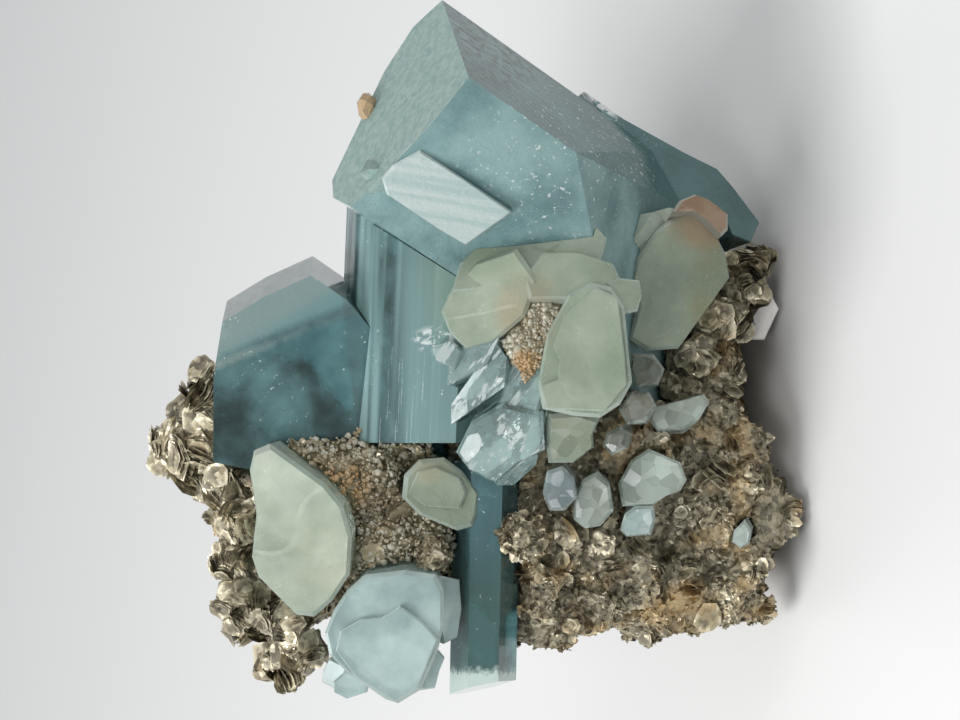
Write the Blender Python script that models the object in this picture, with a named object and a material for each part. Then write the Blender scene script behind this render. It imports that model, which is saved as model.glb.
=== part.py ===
"""Aquamarine beryl on muscovite: a cabinet-size mineral specimen that stands on its own cut foot.

Glassy six-sided beryl crystals, pale tabular beryls and books of mica grow together on a mica matrix.
Lengths in the tables below are millimetres. Places are given as they look from the front: a runs to
the right, b upwards and t towards an eye that looks down on the specimen from EYE_ELEVATION.
"""
import math
import random

import bmesh
import bpy
import numpy as np
from mathutils import Matrix, Vector

MM = 0.001
GAP = 0.3 * MM                      # clearance between pieces that touch
SPIKE = 3.0                         # most that a sharp corner moves out, in gaps
MERGES = (0.03, 0.01, 0.002, 0.0)   # mm, corners nearer than this become one; smaller where that opens a seam
VOLUME_ERROR = 0.001                # share of the smaller solid that a Boolean may get wrong
FLAT_ANGLE = math.radians(1.5)      # facets that meet at less than this are one face
EYE_DISTANCE = 1260.0               # mm from the eye to the middle of the view
EYE_ELEVATION = math.radians(26.0)
VIEW_MIDDLE = Vector((-1.1, 44.0, 110.0))   # mm, the point that the eye looks at
RIGHT = Vector((1.0, 0.0, 0.0))
UP = Vector((0.0, math.sin(EYE_ELEVATION), math.cos(EYE_ELEVATION)))
TOWARD = Vector((0.0, -math.cos(EYE_ELEVATION), math.sin(EYE_ELEVATION)))
EYE = VIEW_MIDDLE + TOWARD * EYE_DISTANCE

# Driving sizes of the largest crystal
LARGE_AXIS = (0.49, 0.762, 0.42)    # c axis, out of the flat termination
LARGE_DEPTH = 114.0                 # t at the middle of the termination
LARGE_LENGTH = 205.0

# How far the prisms run from the cross-section that their tables give, in mm
MIDDLE_REACH = (62.0, 47.0)         # to the left and to the right
LEFT_REACH = (14.0, 96.0)           # into the group and out to the tip
UPPER_LENGTH = 46.0

# Books of mica: steps of each and corners of a leaf
BOOK_STEPS = 2
BOOK_SIDES = 6
LUMP_POINTS = 22                    # corners of a small lump
MOUND_POINTS = 17                   # corners of a block of the matrix
OUTSIDE = 0.5                       # m from the middle to a point that is clear of the specimen

# Colour, roughness and metallic value of each kind of surface
FINISHES = {
    "aquamarine": ((0.25, 0.45, 0.45), 0.08, 0.0),
    "pale_beryl": ((0.55, 0.66, 0.58), 0.25, 0.0),
    "mica": ((0.42, 0.37, 0.28), 0.35, 0.1),
    "matrix": ((0.30, 0.26, 0.19), 0.6, 0.05),
    "stained_beryl": ((0.55, 0.30, 0.14), 0.3, 0.0),
    "albite": ((0.85, 0.84, 0.80), 0.4, 0.0),
}


def direction(a, b, t):
    """Unit world vector of a direction given as right, up and towards the eye."""
    return (RIGHT * a + UP * b + TOWARD * t).normalized()


def seen(a, b, t):
    """World point, in metres, that looks to be at (a, b) and lies t towards the eye."""
    flat = (RIGHT * a + UP * b) * (1.0 - t / EYE_DISTANCE)
    return (VIEW_MIDDLE + flat + TOWARD * t) * MM


def on_plane(outline, depth, normal):
    """Corners of an outline as seen, laid on the plane of that normal at that depth of its middle."""
    facing = direction(*normal)
    middle = [sum(values) / len(outline) for values in zip(*outline)]
    anchor = seen(middle[0], middle[1], depth)
    eye = EYE * MM
    corners = []
    for a, b in outline:
        ray = seen(a, b, 0.0) - eye
        reach = (anchor - eye).dot(facing) / ray.dot(facing)
        corners.append(eye + ray * reach)
    return corners


def face_outwards(edit):
    """Turns all the faces of a closed body outwards."""
    bmesh.ops.recalc_face_normals(edit, faces=edit.faces)
    if edit.calc_volume(signed=True) < 0.0:
        bmesh.ops.reverse_faces(edit, faces=edit.faces)


def new_object(name, mesh_edit):
    """Object from an edited mesh, with its faces turned outwards."""
    face_outwards(mesh_edit)
    mesh = bpy.data.meshes.new(name)
    mesh_edit.to_mesh(mesh)
    mesh_edit.free()
    thing = bpy.data.objects.new(name, mesh)
    bpy.context.collection.objects.link(thing)
    return thing


def loft(name, rings):
    """Closed solid through rings of corners that all have the same count."""
    edit = bmesh.new()
    rows = [[edit.verts.new(corner) for corner in ring] for ring in rings]
    count = len(rows[0])
    for low, high in zip(rows, rows[1:]):
        for i in range(count):
            j = (i + 1) % count
            edit.faces.new((low[i], low[j], high[j], high[i]))
    edit.faces.new(rows[0])
    edit.faces.new(rows[-1])
    return new_object(name, edit)


def extruded(name, corners, axis, length):
    """Prism of an outline, running back from it along the axis."""
    back = direction(*axis) * (-length * MM)
    return loft(name, [corners, [corner + back for corner in corners]])


def plate(name, outline, depth, normal, thickness, rim=1.5, axis=None):
    """Tabular crystal: a flat face as seen, a bevelled rim and straight sides behind it."""
    corners = on_plane(outline, depth, normal)
    back = direction(*(axis or normal)) * -MM
    middle = sum(corners, Vector()) / len(corners)
    size = max((corner - middle).length for corner in corners)
    inner = 1.0 - rim * MM / size
    front = [middle + (corner - middle) * inner for corner in corners]
    side = [corner + back * rim for corner in corners]
    far = [middle + (corner - middle) * inner + back * thickness for corner in corners]
    return loft(name, [front, side, far])


def hull(name, points):
    """Solid with flat facets around a set of points."""
    edit = bmesh.new()
    for point in points:
        edit.verts.new(point)
    made = bmesh.ops.convex_hull(edit, input=edit.verts)
    inside = [piece for piece in made["geom_interior"] if isinstance(piece, bmesh.types.BMVert)]
    bmesh.ops.delete(edit, geom=inside, context="VERTS")
    return new_object(name, edit)


def trimmed(thing, point, normal):
    """Cuts away what lies beyond the plane and closes the cut with one face."""
    edit = bmesh.new()
    edit.from_mesh(thing.data)
    pieces = edit.verts[:] + edit.edges[:] + edit.faces[:]
    bmesh.ops.bisect_plane(edit, geom=pieces, plane_co=point, plane_no=normal, clear_outer=True, dist=1e-7)
    rim = [edge for edge in edit.edges if edge.is_boundary]
    if rim:
        bmesh.ops.holes_fill(edit, edges=rim, sides=0)
    face_outwards(edit)
    edit.to_mesh(thing.data)
    edit.free()
    return thing


def volume_of(mesh):
    """Volume of a closed mesh in cubic metres, or zero where it has a hole."""
    edit = bmesh.new()
    edit.from_mesh(mesh)
    closed = all(len(edge.link_faces) == 2 for edge in edit.edges)
    volume = edit.calc_volume() if closed else 0.0
    edit.free()
    return volume


def boolean(thing, other, operation, solver):
    """Mesh of the Boolean of two solids."""
    step = thing.modifiers.new("Boolean", "BOOLEAN")
    step.operation = operation
    step.solver = solver
    step.object = other
    bpy.context.view_layer.update()
    graph = bpy.context.evaluated_depsgraph_get()
    mesh = bpy.data.meshes.new_from_object(thing.evaluated_get(graph))
    thing.modifiers.clear()
    return mesh


def combine(thing, other, operation):
    """Boolean of two solids; the second one is used up."""
    least = VOLUME_ERROR * min(volume_of(thing.data), volume_of(other.data))
    mesh = boolean(thing, other, operation, "EXACT")
    second = boolean(thing, other, operation, "MANIFOLD")
    # where many facets cross, the exact solver now and then drops a body or misses the cut
    if abs(volume_of(mesh) - volume_of(second)) > least:
        mesh = second
    thing.data = mesh
    bpy.data.objects.remove(other)
    return thing


def joined(name, things):
    """Grown-together crystals as one solid."""
    whole = things[0]
    for other in things[1:]:
        combine(whole, other, "UNION")
    whole.name = name
    return whole


def grown(thing, gap):
    """Copy whose faces all stand out by the gap, to cut room for its neighbour."""
    edit = bmesh.new()
    edit.from_mesh(thing.data)
    bmesh.ops.triangulate(edit, faces=edit.faces)
    edit.normal_update()
    moves = []
    for vert in edit.verts:
        normals = np.array([list(face.normal) for face in vert.link_faces])
        move = np.linalg.lstsq(normals, np.full(len(normals), gap), rcond=1e-2)[0]
        reach = float(np.linalg.norm(move))
        if reach > SPIKE * gap:
            move = move * (SPIKE * gap / reach)
        moves.append(Vector(move))
    for vert, move in zip(edit.verts, moves):
        vert.co += move
    return new_object(thing.name + "_room", edit)


def box_of(thing):
    """Lowest and highest corners of a solid."""
    places = np.array([list(vert.co) for vert in thing.data.vertices])
    return places.min(axis=0), places.max(axis=0)


def meet(one, two):
    """True when the boxes of two solids overlap."""
    low_one, high_one = box_of(one)
    low_two, high_two = box_of(two)
    return bool(np.all(low_one < high_two + GAP) and np.all(low_two < high_one + GAP))


def solid_volume(faces):
    """Size of a closed body, from its faces."""
    total = 0.0
    for face in faces:
        first = face.verts[0].co
        for second, third in zip(face.verts[1:], face.verts[2:]):
            total += first.dot(second.co.cross(third.co))
    return abs(total)


def bodies_of(edit):
    """Faces of each separate body, the smallest body first."""
    left = set(edit.faces)
    bodies = []
    while left:
        body = set()
        front = [left.pop()]
        while front:
            face = front.pop()
            body.add(face)
            for edge in face.edges:
                for other in edge.link_faces:
                    if other in left:
                        left.discard(other)
                        front.append(other)
        bodies.append(body)
    return sorted(bodies, key=solid_volume)


def tidy(thing):
    """Largest body of a cut solid, with its flat facets whole and no crumbs."""
    for merge in MERGES:
        edit = bmesh.new()
        edit.from_mesh(thing.data)
        crumbs = [face for body in bodies_of(edit)[:-1] for face in body]
        bmesh.ops.delete(edit, geom=crumbs, context="FACES")
        if merge:
            bmesh.ops.remove_doubles(edit, verts=edit.verts, dist=merge * MM)
            bmesh.ops.dissolve_limit(edit, angle_limit=FLAT_ANGLE, verts=edit.verts, edges=edit.edges)
            bmesh.ops.triangulate(edit, faces=edit.faces)
            bmesh.ops.dissolve_degenerate(edit, edges=edit.edges, dist=merge * MM)
        face_outwards(edit)
        closed = all(len(edge.link_faces) == 2 for edge in edit.edges)
        if closed and len(bodies_of(edit)) == 1:
            break
        if merge:
            edit.free()
    edit.to_mesh(thing.data)
    edit.free()
    return thing


def give_room(thing, neighbours):
    """Cuts a solid back to the gap from each neighbour that it would touch."""
    for neighbour in neighbours:
        if meet(thing, neighbour):
            combine(thing, grown(neighbour, GAP), "DIFFERENCE")
            if not thing.data.vertices:
                raise ValueError(f"{thing.name} lies inside {neighbour.name}")
    return tidy(thing)


def finish(thing, kind):
    """Gives a solid its material."""
    material = bpy.data.materials.get(kind)
    if material is None:
        colour, roughness, metallic = FINISHES[kind]
        material = bpy.data.materials.new(kind)
        material.use_nodes = True
        shader = material.node_tree.nodes["Principled BSDF"]
        shader.inputs["Base Color"].default_value = (*colour, 1.0)
        shader.inputs["Roughness"].default_value = roughness
        shader.inputs["Metallic"].default_value = metallic
    thing.data.materials.clear()
    thing.data.materials.append(material)
    return thing


def frame_of(normal, lean=0.0):
    """Two unit vectors across a normal, turned by lean degrees."""
    first = normal.cross(Vector((0.0, 0.0, 1.0)))
    if first.length < 0.1:
        first = normal.cross(RIGHT)
    first.normalize()
    first = Matrix.Rotation(math.radians(lean), 3, normal) @ first
    return first, normal.cross(first)


def book(name, centre, normal, radius, thickness, chance, stretch=1.0, lean=0.0):
    """Book of mica: irregular six-sided leaves stacked in terraces, as one stepped solid."""
    facing = normal.normalized()
    first, second = frame_of(facing, lean)
    turns = [math.tau * (i + chance.uniform(-0.22, 0.22)) / BOOK_SIDES for i in range(BOOK_SIDES)]
    reach = [chance.uniform(0.82, 1.08) for _ in range(BOOK_SIDES)]
    rings = []
    scale = 0.9
    for step in range(BOOK_STEPS):
        low = thickness * (step / BOOK_STEPS - 0.5)
        high = thickness * ((step + 1) / BOOK_STEPS - 0.5)
        for level in (low, high):
            rings.append([
                centre + (facing * level + first * (math.cos(turn) * size * scale * radius * stretch)
                          + second * (math.sin(turn) * size * scale * radius)) * MM
                for turn, size in zip(turns, reach)
            ])
        scale *= chance.uniform(0.78, 0.9) if step % 2 else chance.uniform(1.08, 1.16)
    return loft(name, rings)


def mound(name, spot, radii, chance, points):
    """Rough block with flat facets; its place and half sizes are given as seen."""
    spots = []
    for i in range(points):
        height = 1.0 - 2.0 * (i + 0.5) / points
        turn = i * math.pi * (3.0 - math.sqrt(5.0))
        ring = math.sqrt(1.0 - height * height)
        bulge = chance.uniform(0.88, 1.06)
        right, up, near = [s * r * bulge for s, r in
                           zip((math.cos(turn) * ring, math.sin(turn) * ring, height), radii)]
        spots.append(seen(*spot) + (RIGHT * right + UP * up + TOWARD * near) * MM)
    return hull(name, spots)


# Aquamarine

def large_aquamarine():
    """Stout prism with a flat frosted end, and the parallel crystals grown on it."""
    end = [
        (162, 17), (127, 5), (106, 22), (88, 39), (69, 58), (73, 66), (81, 66.5), (101, 57),
        (130, 43), (150, 30),
    ]
    corners = on_plane(end, LARGE_DEPTH, LARGE_AXIS)
    main = extruded("main", corners, LARGE_AXIS, LARGE_LENGTH)
    # the main prism ends obliquely on a second crystal, which carries on down to the foot
    trimmed(main, seen(99, -64, 74), direction(0.47, -0.80, 0.36))
    trimmed(main, seen(66, -66, 92), direction(-0.10, -0.85, 0.50))
    lower = [(121, -47), (104, -60), (92, -69), (80, -73), (70, -86), (72, -98), (66, -110), (56, -114),
             (53, -122), (62, -126), (78, -114), (86, -107), (94, -91), (109, -64)]
    second = plate("second", lower, 44, (0.22, -0.28, 0.93), 36, 1.2, axis=(0.10, -0.25, 0.96))
    face = [(51, 6), (58, 18), (74, 42), (81, 44), (87, 39), (94, 27), (80, 5), (66, -15)]
    tablet = plate("tablet", face, 138, (-0.42, -0.10, 0.88), 26, 1.6)
    strip = plate("strip", [(81, 40), (81, 52), (84, 54), (86, 50), (86, 38)], 132, (-0.4, 0.1, 0.9), 16, 0.6)
    lump = mound("lump", (114, 51, 90), (6.5, 4.5, 7.0), random.Random(3), LUMP_POINTS)
    return finish(tidy(joined("large_aquamarine", [main, second, tablet, strip, lump])), "aquamarine")


def middle_aquamarine():
    """Prism that lies across the middle, behind the large one's end."""
    axis = (1.0, -0.045, 0.05)
    end = [(30, 61.5, 66), (30, 57, 90), (30, 43, 104), (30, 8, 104), (30, -8, 82), (30, 8, 58), (30, 40, 52)]
    start = [seen(*corner) for corner in end]
    run = direction(*axis) * MM
    left, right = MIDDLE_REACH
    rings = [[corner - run * left for corner in start], [corner + run * right for corner in start]]
    return finish(loft("middle_aquamarine", rings), "aquamarine")


def upper_aquamarine():
    """Thick prism seen nearly end on, with a frosted rim on its right side."""
    face = [(-46, 120), (-8, 120), (17, 116), (28, 98), (38, 76), (27, 60), (-16, 26), (-48, 14), (-60, 50)]
    axis = (-0.21, -0.045, 0.97)
    body = extruded("upper_aquamarine", on_plane(face, 98, axis), axis, UPPER_LENGTH)
    trimmed(body, seen(-8, 60, 98), direction(-0.17, -0.445, 0.97))
    return finish(body, "aquamarine")


def left_aquamarine():
    """Long prism that runs out to the left, dark where it is clear and frosted at its tip."""
    axis = (-1.0, 0.02, -0.10)
    end = [(-60, 12, 84), (-60, 4, 104), (-60, -10, 104), (-60, -18, 84), (-60, -8, 66), (-60, 8, 66)]
    start = [seen(*corner) for corner in end]
    run = direction(*axis) * MM
    inwards, outwards = LEFT_REACH
    rings = [[corner - run * inwards for corner in start], [corner + run * outwards for corner in start]]
    body = loft("left_aquamarine", rings)
    trimmed(body, seen(-147, 4, 100), direction(-0.97, -0.20, 0.16))
    trimmed(body, seen(-148, 20, 90), direction(-0.9, 0.3, 0.3))
    return finish(body, "aquamarine")


def clear_aquamarines():
    """Water-clear crystals that grew through each other in the middle."""
    left_band = on_plane([(-29, 13), (-20, 13), (8, -7), (1, -12), (-12, -11)], 116, (-0.1, 0.25, 0.95))
    right_band = on_plane([(-12, 15), (-3, 14), (30, -9), (29, -15), (20, -13), (-2, -3)], 119,
                          (0.05, 0.35, 0.93))
    parts = [
        plate("left", [(-56, -7), (-50, 5), (-42, 11), (-28, 4), (-20, -10), (-24, -28), (-41, -29),
                       (-47, -17)], 114, (-0.25, 0.12, 0.95), 34, 2.0),
        plate("foot", [(-57, -8), (-50, -11), (-43, -17), (-42, -27), (-47, -26), (-57, -15)],
              108, (-0.55, -0.35, 0.75), 26, 1.0),
        extruded("left band", left_band, (-0.1, 0.3, 0.95), 26),
        extruded("right band", right_band, (0.0, 0.3, 0.95), 24),
        plate("tip", [(-4, 12), (0, 20), (7, 22), (9, 13), (4, 8)], 116, (0.1, 0.3, 0.95), 20, 1.0),
        plate("low", [(-20, -8), (-8, -12), (0, -14), (-2, -27), (-14, -29), (-24, -26)],
              116, (0.1, 0.15, 0.98), 26, 1.5),
    ]
    return finish(tidy(joined("clear_aquamarines", parts)), "aquamarine")


# Pale beryl

def green_beryl_cluster():
    """Pale green tabular crystals that grew through each other in parallel steps."""
    parts = [
        plate("back", [(31, 13), (44, 9), (55, -2), (66, -16), (65, -33), (61, -52), (55, -57), (45, -54),
                       (36, -40)], 116, (0.30, 0.05, 0.95), 30, 1.5),
        plate("olive", [(5, 7), (12, 14), (22, 18), (31, 14), (44, 2), (50, -16), (36, -26), (20, -20),
                        (8, -6)], 120, (0.0, 0.28, 0.95), 30, 1.8),
        plate("second", [(28, -22), (38, -19), (49, -28), (49, -44), (44, -60), (35, -64), (28, -52)],
              124, (0.34, -0.02, 0.94), 30, 1.5),
        plate("front", [(-22, -28), (-10, -26), (12, -30), (30, -40), (35, -50), (33, -59), (24, -65),
                        (2, -67), (-10, -68.5), (-20, -63), (-26, -54), (-25, -42)],
              131, (0.03, 0.05, 1.0), 36, 1.8),
        plate("step", [(-22, -30), (-12, -27), (-9, -35), (0, -36), (6, -33), (20, -38), (33, -52), (28, -62),
                       (3, -65), (-11, -66), (-23, -56)], 133.5, (0.02, 0.06, 1.0), 8, 0.8),
        plate("small", [(21, -65), (22, -71), (29, -73), (36, -72), (37, -63), (35, -57), (27, -60)],
              126, (0.1, -0.15, 0.98), 22, 1.2),
    ]
    return finish(tidy(joined("green_beryl_cluster", parts)), "pale_beryl")


def grey_green_plate():
    """Thick grey-green tablet with a striated upper side."""
    face = [
        (4, -76), (5, -90), (20, -101), (37, -113), (48, -111), (58, -106), (67, -95), (64, -88),
        (58, -80), (45, -71), (36, -69), (24, -72), (9, -68),
    ]
    main = plate("main", face, 80, (-0.05, -0.10, 0.99), 30, 1.5, axis=(-0.10, -0.42, 0.90))
    dark = plate("dark", [(43, -60), (47, -52), (53, -56), (58, -56), (65, -66), (67, -78), (60, -74)],
                 80, (0.35, 0.55, 0.75), 28, 1.0)
    corner = plate("corner", [(58, -80), (67, -78), (69, -85), (67, -94), (63, -89)], 76, (0.35, 0.1, 0.93),
                   18, 0.8)
    return finish(tidy(joined("grey_green_plate", [main, dark, corner])), "pale_beryl")


def pale_green_plate():
    """Broad pale green tablet with a rounded outline."""
    face = [
        (-98, 100), (-89, 103), (-70, 101), (-50, 104), (-41, 102), (-38, 95), (-46, 84), (-56, 70),
        (-66, 62), (-80, 58), (-97, 59), (-109, 67), (-116, 75), (-115, 83), (-107, 91),
    ]
    return finish(plate("pale_green_plate", face, 114, (-0.12, 0.10, 0.98), 24, 2.2), "pale_beryl")


def pale_blue_plate():
    """Pale blue tablet with curved growth steps, and the bluish crystals at its rim."""
    face = [
        (-155, 37), (-153, 43), (-141, 60), (-133, 68), (-123, 70), (-113, 66), (-104, 60), (-97, 52),
        (-95, 34), (-97, 20), (-104, 16.5), (-120, 16.5), (-131, 19), (-149, 27),
    ]
    step = [(-154, 38), (-143, 56), (-131, 65), (-122, 63), (-117, 54), (-116, 44), (-111, 36), (-118, 26),
            (-126, 19), (-148, 28)]
    parts = [
        plate("main", face, 108, (-0.15, 0.05, 0.98), 26, 1.8),
        plate("step", step, 110, (-0.17, 0.05, 0.98), 8, 0.9),
        plate("rim", [(-128, 16), (-125, 10), (-112, 8), (-99, 9), (-97, 18), (-110, 20)], 98,
              (-0.05, -0.45, 0.88), 16, 1.0),
        plate("white", [(-149, 26), (-148, 20), (-140, 18), (-134, 15.5), (-131, 18), (-132, 25), (-141, 28)],
              98, (-0.2, -0.4, 0.88), 14, 1.0),
        plate("low", [(-153, 60), (-150, 66), (-145, 66), (-140, 60), (-146, 50), (-150, 51)], 92,
              (-0.4, 0.2, 0.9), 14, 1.0),
        plate("high", [(-148, 66), (-145, 71.5), (-140, 71), (-134, 68), (-138, 60), (-146, 61)], 90,
              (-0.1, 0.4, 0.9), 14, 1.0),
    ]
    return finish(tidy(joined("pale_blue_plate", parts)), "pale_beryl")


def centre_plate():
    """Translucent green tablet in the middle of the left side."""
    face = [(-77, 10), (-75, 3), (-70, 1), (-60, 0), (-50, 8), (-44, 16), (-45, 27), (-52, 34), (-62, 35),
            (-70, 27)]
    parts = [
        plate("main", face, 106, (-0.05, -0.10, 0.99), 24, 2.0),
        plate("inner", [(-67, 9), (-66, 25), (-60, 33), (-50, 28), (-48, 20), (-53, 9), (-60, 6)], 108,
              (-0.1, 0.0, 0.99), 8, 1.0),
    ]
    return finish(tidy(joined("centre_plate", parts)), "pale_beryl")


def brown_green_crystal():
    """Blocky brownish green crystal under the clear ones."""
    face = [(-47, -31), (-40, -30), (-25, -31), (-24, -44), (-27, -54), (-34, -51), (-40, -51.5), (-47, -42)]
    return finish(plate("brown_green_crystal", face, 112, (-0.3, -0.05, 0.95), 24, 2.0), "pale_beryl")


def grey_beryl():
    """Short grey hexagonal prism, seen on its flat end."""
    face = [(-68, -31), (-60, -28), (-50, -30), (-48, -37), (-53, -42), (-62, -43.5), (-68, -38)]
    return finish(plate("grey_beryl", face, 108, (-0.1, 0.1, 0.99), 26, 1.5), "pale_beryl")


SMALL_BERYLS = {
    # outline as seen, depth, normal
    "pale_beryl_round": ([(-76, -47), (-72, -42), (-63, -42), (-54, -46), (-51, -52), (-56, -58), (-68, -60),
                          (-75, -54)], 98, (-0.1, 0.1, 0.99)),
    "pale_beryl_left": ([(-80, -66), (-77, -63), (-70, -65), (-66, -70), (-66, -78), (-72, -79), (-79, -77)],
                        88, (-0.2, 0.05, 0.98)),
    "pale_beryl_middle": ([(-66, -64), (-56, -62), (-45, -68), (-40, -76), (-46, -90), (-54, -93), (-59, -90),
                           (-61, -84), (-65, -78)], 89, (0.0, 0.1, 0.99)),
    "pale_beryl_right": ([(-31, -92), (-32, -80), (-27, -76), (-21, -77), (-18, -90), (-15, -101), (-19, -103),
                          (-26, -99)], 78, (0.15, 0.05, 0.98)),
    "clear_beryl_upper": ([(-43, -59), (-39, -55), (-33, -57), (-30, -63), (-34, -67), (-40, -66)], 104,
                          (-0.1, 0.2, 0.97)),
    "clear_beryl_middle": ([(-29, -66), (-22, -62), (-14, -68), (-14, -76), (-20, -79), (-28, -74)], 100,
                           (0.1, 0.15, 0.98)),
    "clear_beryl_lower": ([(-12, -71), (-5, -68), (3, -68), (3, -78), (-4, -83), (-11, -80)], 96,
                          (0.1, 0.1, 0.98)),
    "white_beryl_foot": ([(-85, -117), (-82, -113), (-77, -114), (-72, -119), (-77, -122), (-83, -121)], 62,
                         (-0.1, 0.2, 0.97)),
}


def small_beryls():
    """Short six-sided crystals that stand on the matrix."""
    made = []
    for name, (outline, depth, normal) in SMALL_BERYLS.items():
        made.append(finish(plate(name, outline, depth, normal, 22, 1.6), "pale_beryl"))
    return made


def mica_druse():
    """Crust of small mica and quartz grains in the hollow between the green tablets."""
    chance = random.Random(8)
    lumps = [((8, -22, 112), (14, 12, 10)), ((22, -28, 114), (13, 13, 10)), ((-4, -24, 110), (11, 9, 8))]
    made = [mound("lump", spot, radii, chance, LUMP_POINTS) for spot, radii in lumps]
    return finish(tidy(joined("mica_druse", made)), "mica")


def stained_beryl():
    """Small beryl stained orange-brown, at the foot of the large crystal."""
    face = [(67, -87), (72, -90), (75, -97), (73, -103), (66, -112), (59, -112), (56, -109), (63, -102),
            (67, -96)]
    return finish(plate("stained_beryl", face, 84, (0.3, -0.25, 0.9), 22, 1.5), "stained_beryl")


def albite_plate():
    """White cleavage plate at the foot."""
    face = [(9, -120), (16, -121), (23, -125), (31, -130), (23, -134.5), (9, -128)]
    return finish(plate("albite_plate", face, 31, (-0.1, 0.05, 0.99), 12, 0.8), "albite")


# Mica

TOP_BOOKS = [
    # centre as seen (a, b, t), normal, radius, thickness, stretch, lean
    ((-34, 128, 52), (0.15, 0.75, 0.60), 21, 13, 1.15, 10),
    ((-46, 124, 62), (-0.55, 0.35, 0.75), 20, 10, 1.2, 30),
    ((-22, 118, 66), (0.45, 0.30, 0.85), 18, 9, 1.3, 60),
    ((-40, 138, 40), (-0.2, 0.25, 0.95), 15, 10, 1.1, 0),
    ((-12, 124, 48), (0.1, 0.85, 0.5), 15, 8, 1.5, 20),
    ((-58, 114, 72), (-0.5, 0.6, 0.6), 14, 7, 1.4, 40),
]
LEFT_BOOKS = [
    ((-109, 108, 84), (-0.25, 0.05, 0.97), 13.5, 13, 1.0, 10),
    ((-90, 112, 80), (0.1, 0.1, 0.99), 11.5, 12, 1.1, 0),
    ((-118, 105, 74), (-0.7, 0.1, 0.7), 13, 9, 0.9, 0),
    ((-136, 88, 70), (-0.15, 0.93, 0.3), 16, 9, 1.5, 0),
    ((-134, 94, 62), (0.05, 0.97, 0.25), 13, 6, 1.5, 20),
    ((-130, 80, 84), (-0.3, 0.5, 0.8), 13, 9, 1.3, 0),
    ((-118, 88, 92), (-0.2, 0.3, 0.9), 12, 10, 1.2, 20),
    ((-74, 108, 84), (0.1, 0.55, 0.83), 12, 7, 1.6, 30),
]
FOOT_BOOKS = [
    ((40, -118, 40), (0.25, -0.1, 0.95), 12, 12, 1.2, 0),
    ((30, -120, 34), (-0.75, -0.2, 0.6), 12, 12, 1.0, 20),
    ((16, -106, 52), (-0.35, -0.45, 0.8), 13, 9, 1.5, -30),
    ((2, -98, 60), (-0.55, -0.35, 0.75), 11, 9, 1.3, -40),
    ((44, -124, 28), (0.1, -0.6, 0.8), 11, 8, 1.4, 0),
    ((18, -114, 42), (-0.2, -0.6, 0.75), 12, 8, 1.5, -20),
]


def books(name, rows, seed):
    """Books of mica fused into one group."""
    chance = random.Random(seed)
    made = []
    for spot, normal, radius, thickness, stretch, lean in rows:
        made.append(book(name, seen(*spot), direction(*normal), radius, thickness, chance, stretch, lean))
    return finish(tidy(joined(name, made)), "mica")


def mica_ball(name, spot, radius, seed):
    """Small round rosette of mica."""
    chance = random.Random(seed)
    centre = seen(*spot)
    made = [mound(name, spot, (radius, radius * 0.9, radius), chance, LUMP_POINTS)]
    for i in range(2):
        turn = math.tau * i / 2 + 0.4
        lean = direction(math.cos(turn) * 0.7, math.sin(turn) * 0.7, 0.7)
        middle = centre + lean * radius * 0.25 * MM
        made.append(book(name, middle, lean, radius * 0.98, radius * 0.5, chance, 1.0, 40 * i))
    return finish(tidy(joined(name, made)), "mica")


# Matrix

CORE_MOUNDS = [
    # centre as seen (a, b, t) and half sizes to the right, up and towards the eye
    ((-62, -76, 8), (66, 66, 56)), ((-10, -74, -4), (60, 56, 52)), ((30, -84, -16), (38, 40, 44)),
    ((-92, -34, 40), (40, 40, 46)), ((-52, -20, 44), (52, 50, 50)), ((2, -30, 30), (52, 56, 46)),
    ((-70, 44, 52), (60, 46, 44)), ((-30, 96, 34), (42, 38, 34)), ((26, 12, 24), (44, 42, 38)),
    ((-94, 84, 46), (32, 30, 32)), ((-60, 76, 22), (50, 54, 34)), ((-40, 0, -8), (62, 62, 42)),
    ((-52, 64, 88), (22, 34, 18)), ((-34, 44, 82), (18, 24, 16)), ((-84, 42, 84), (20, 20, 18)),
    ((-66, 20, 84), (24, 14, 16)), ((-98, -76, 36), (27, 58, 26)), ((-66, -108, 30), (40, 32, 24)),
    ((-30, -98, 36), (30, 24, 26)), ((-4, -94, 38), (22, 22, 22)), ((-104, -24, 58), (27, 24, 24)),
    ((-74, -46, 68), (32, 26, 22)), ((-36, -66, 66), (26, 24, 20)), ((20, -92, 22), (24, 26, 24)),
    ((-8, -34, 74), (34, 22, 20)), ((-50, -16, 74), (32, 22, 20)), ((24, -62, 40), (30, 26, 20)),
]
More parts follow.
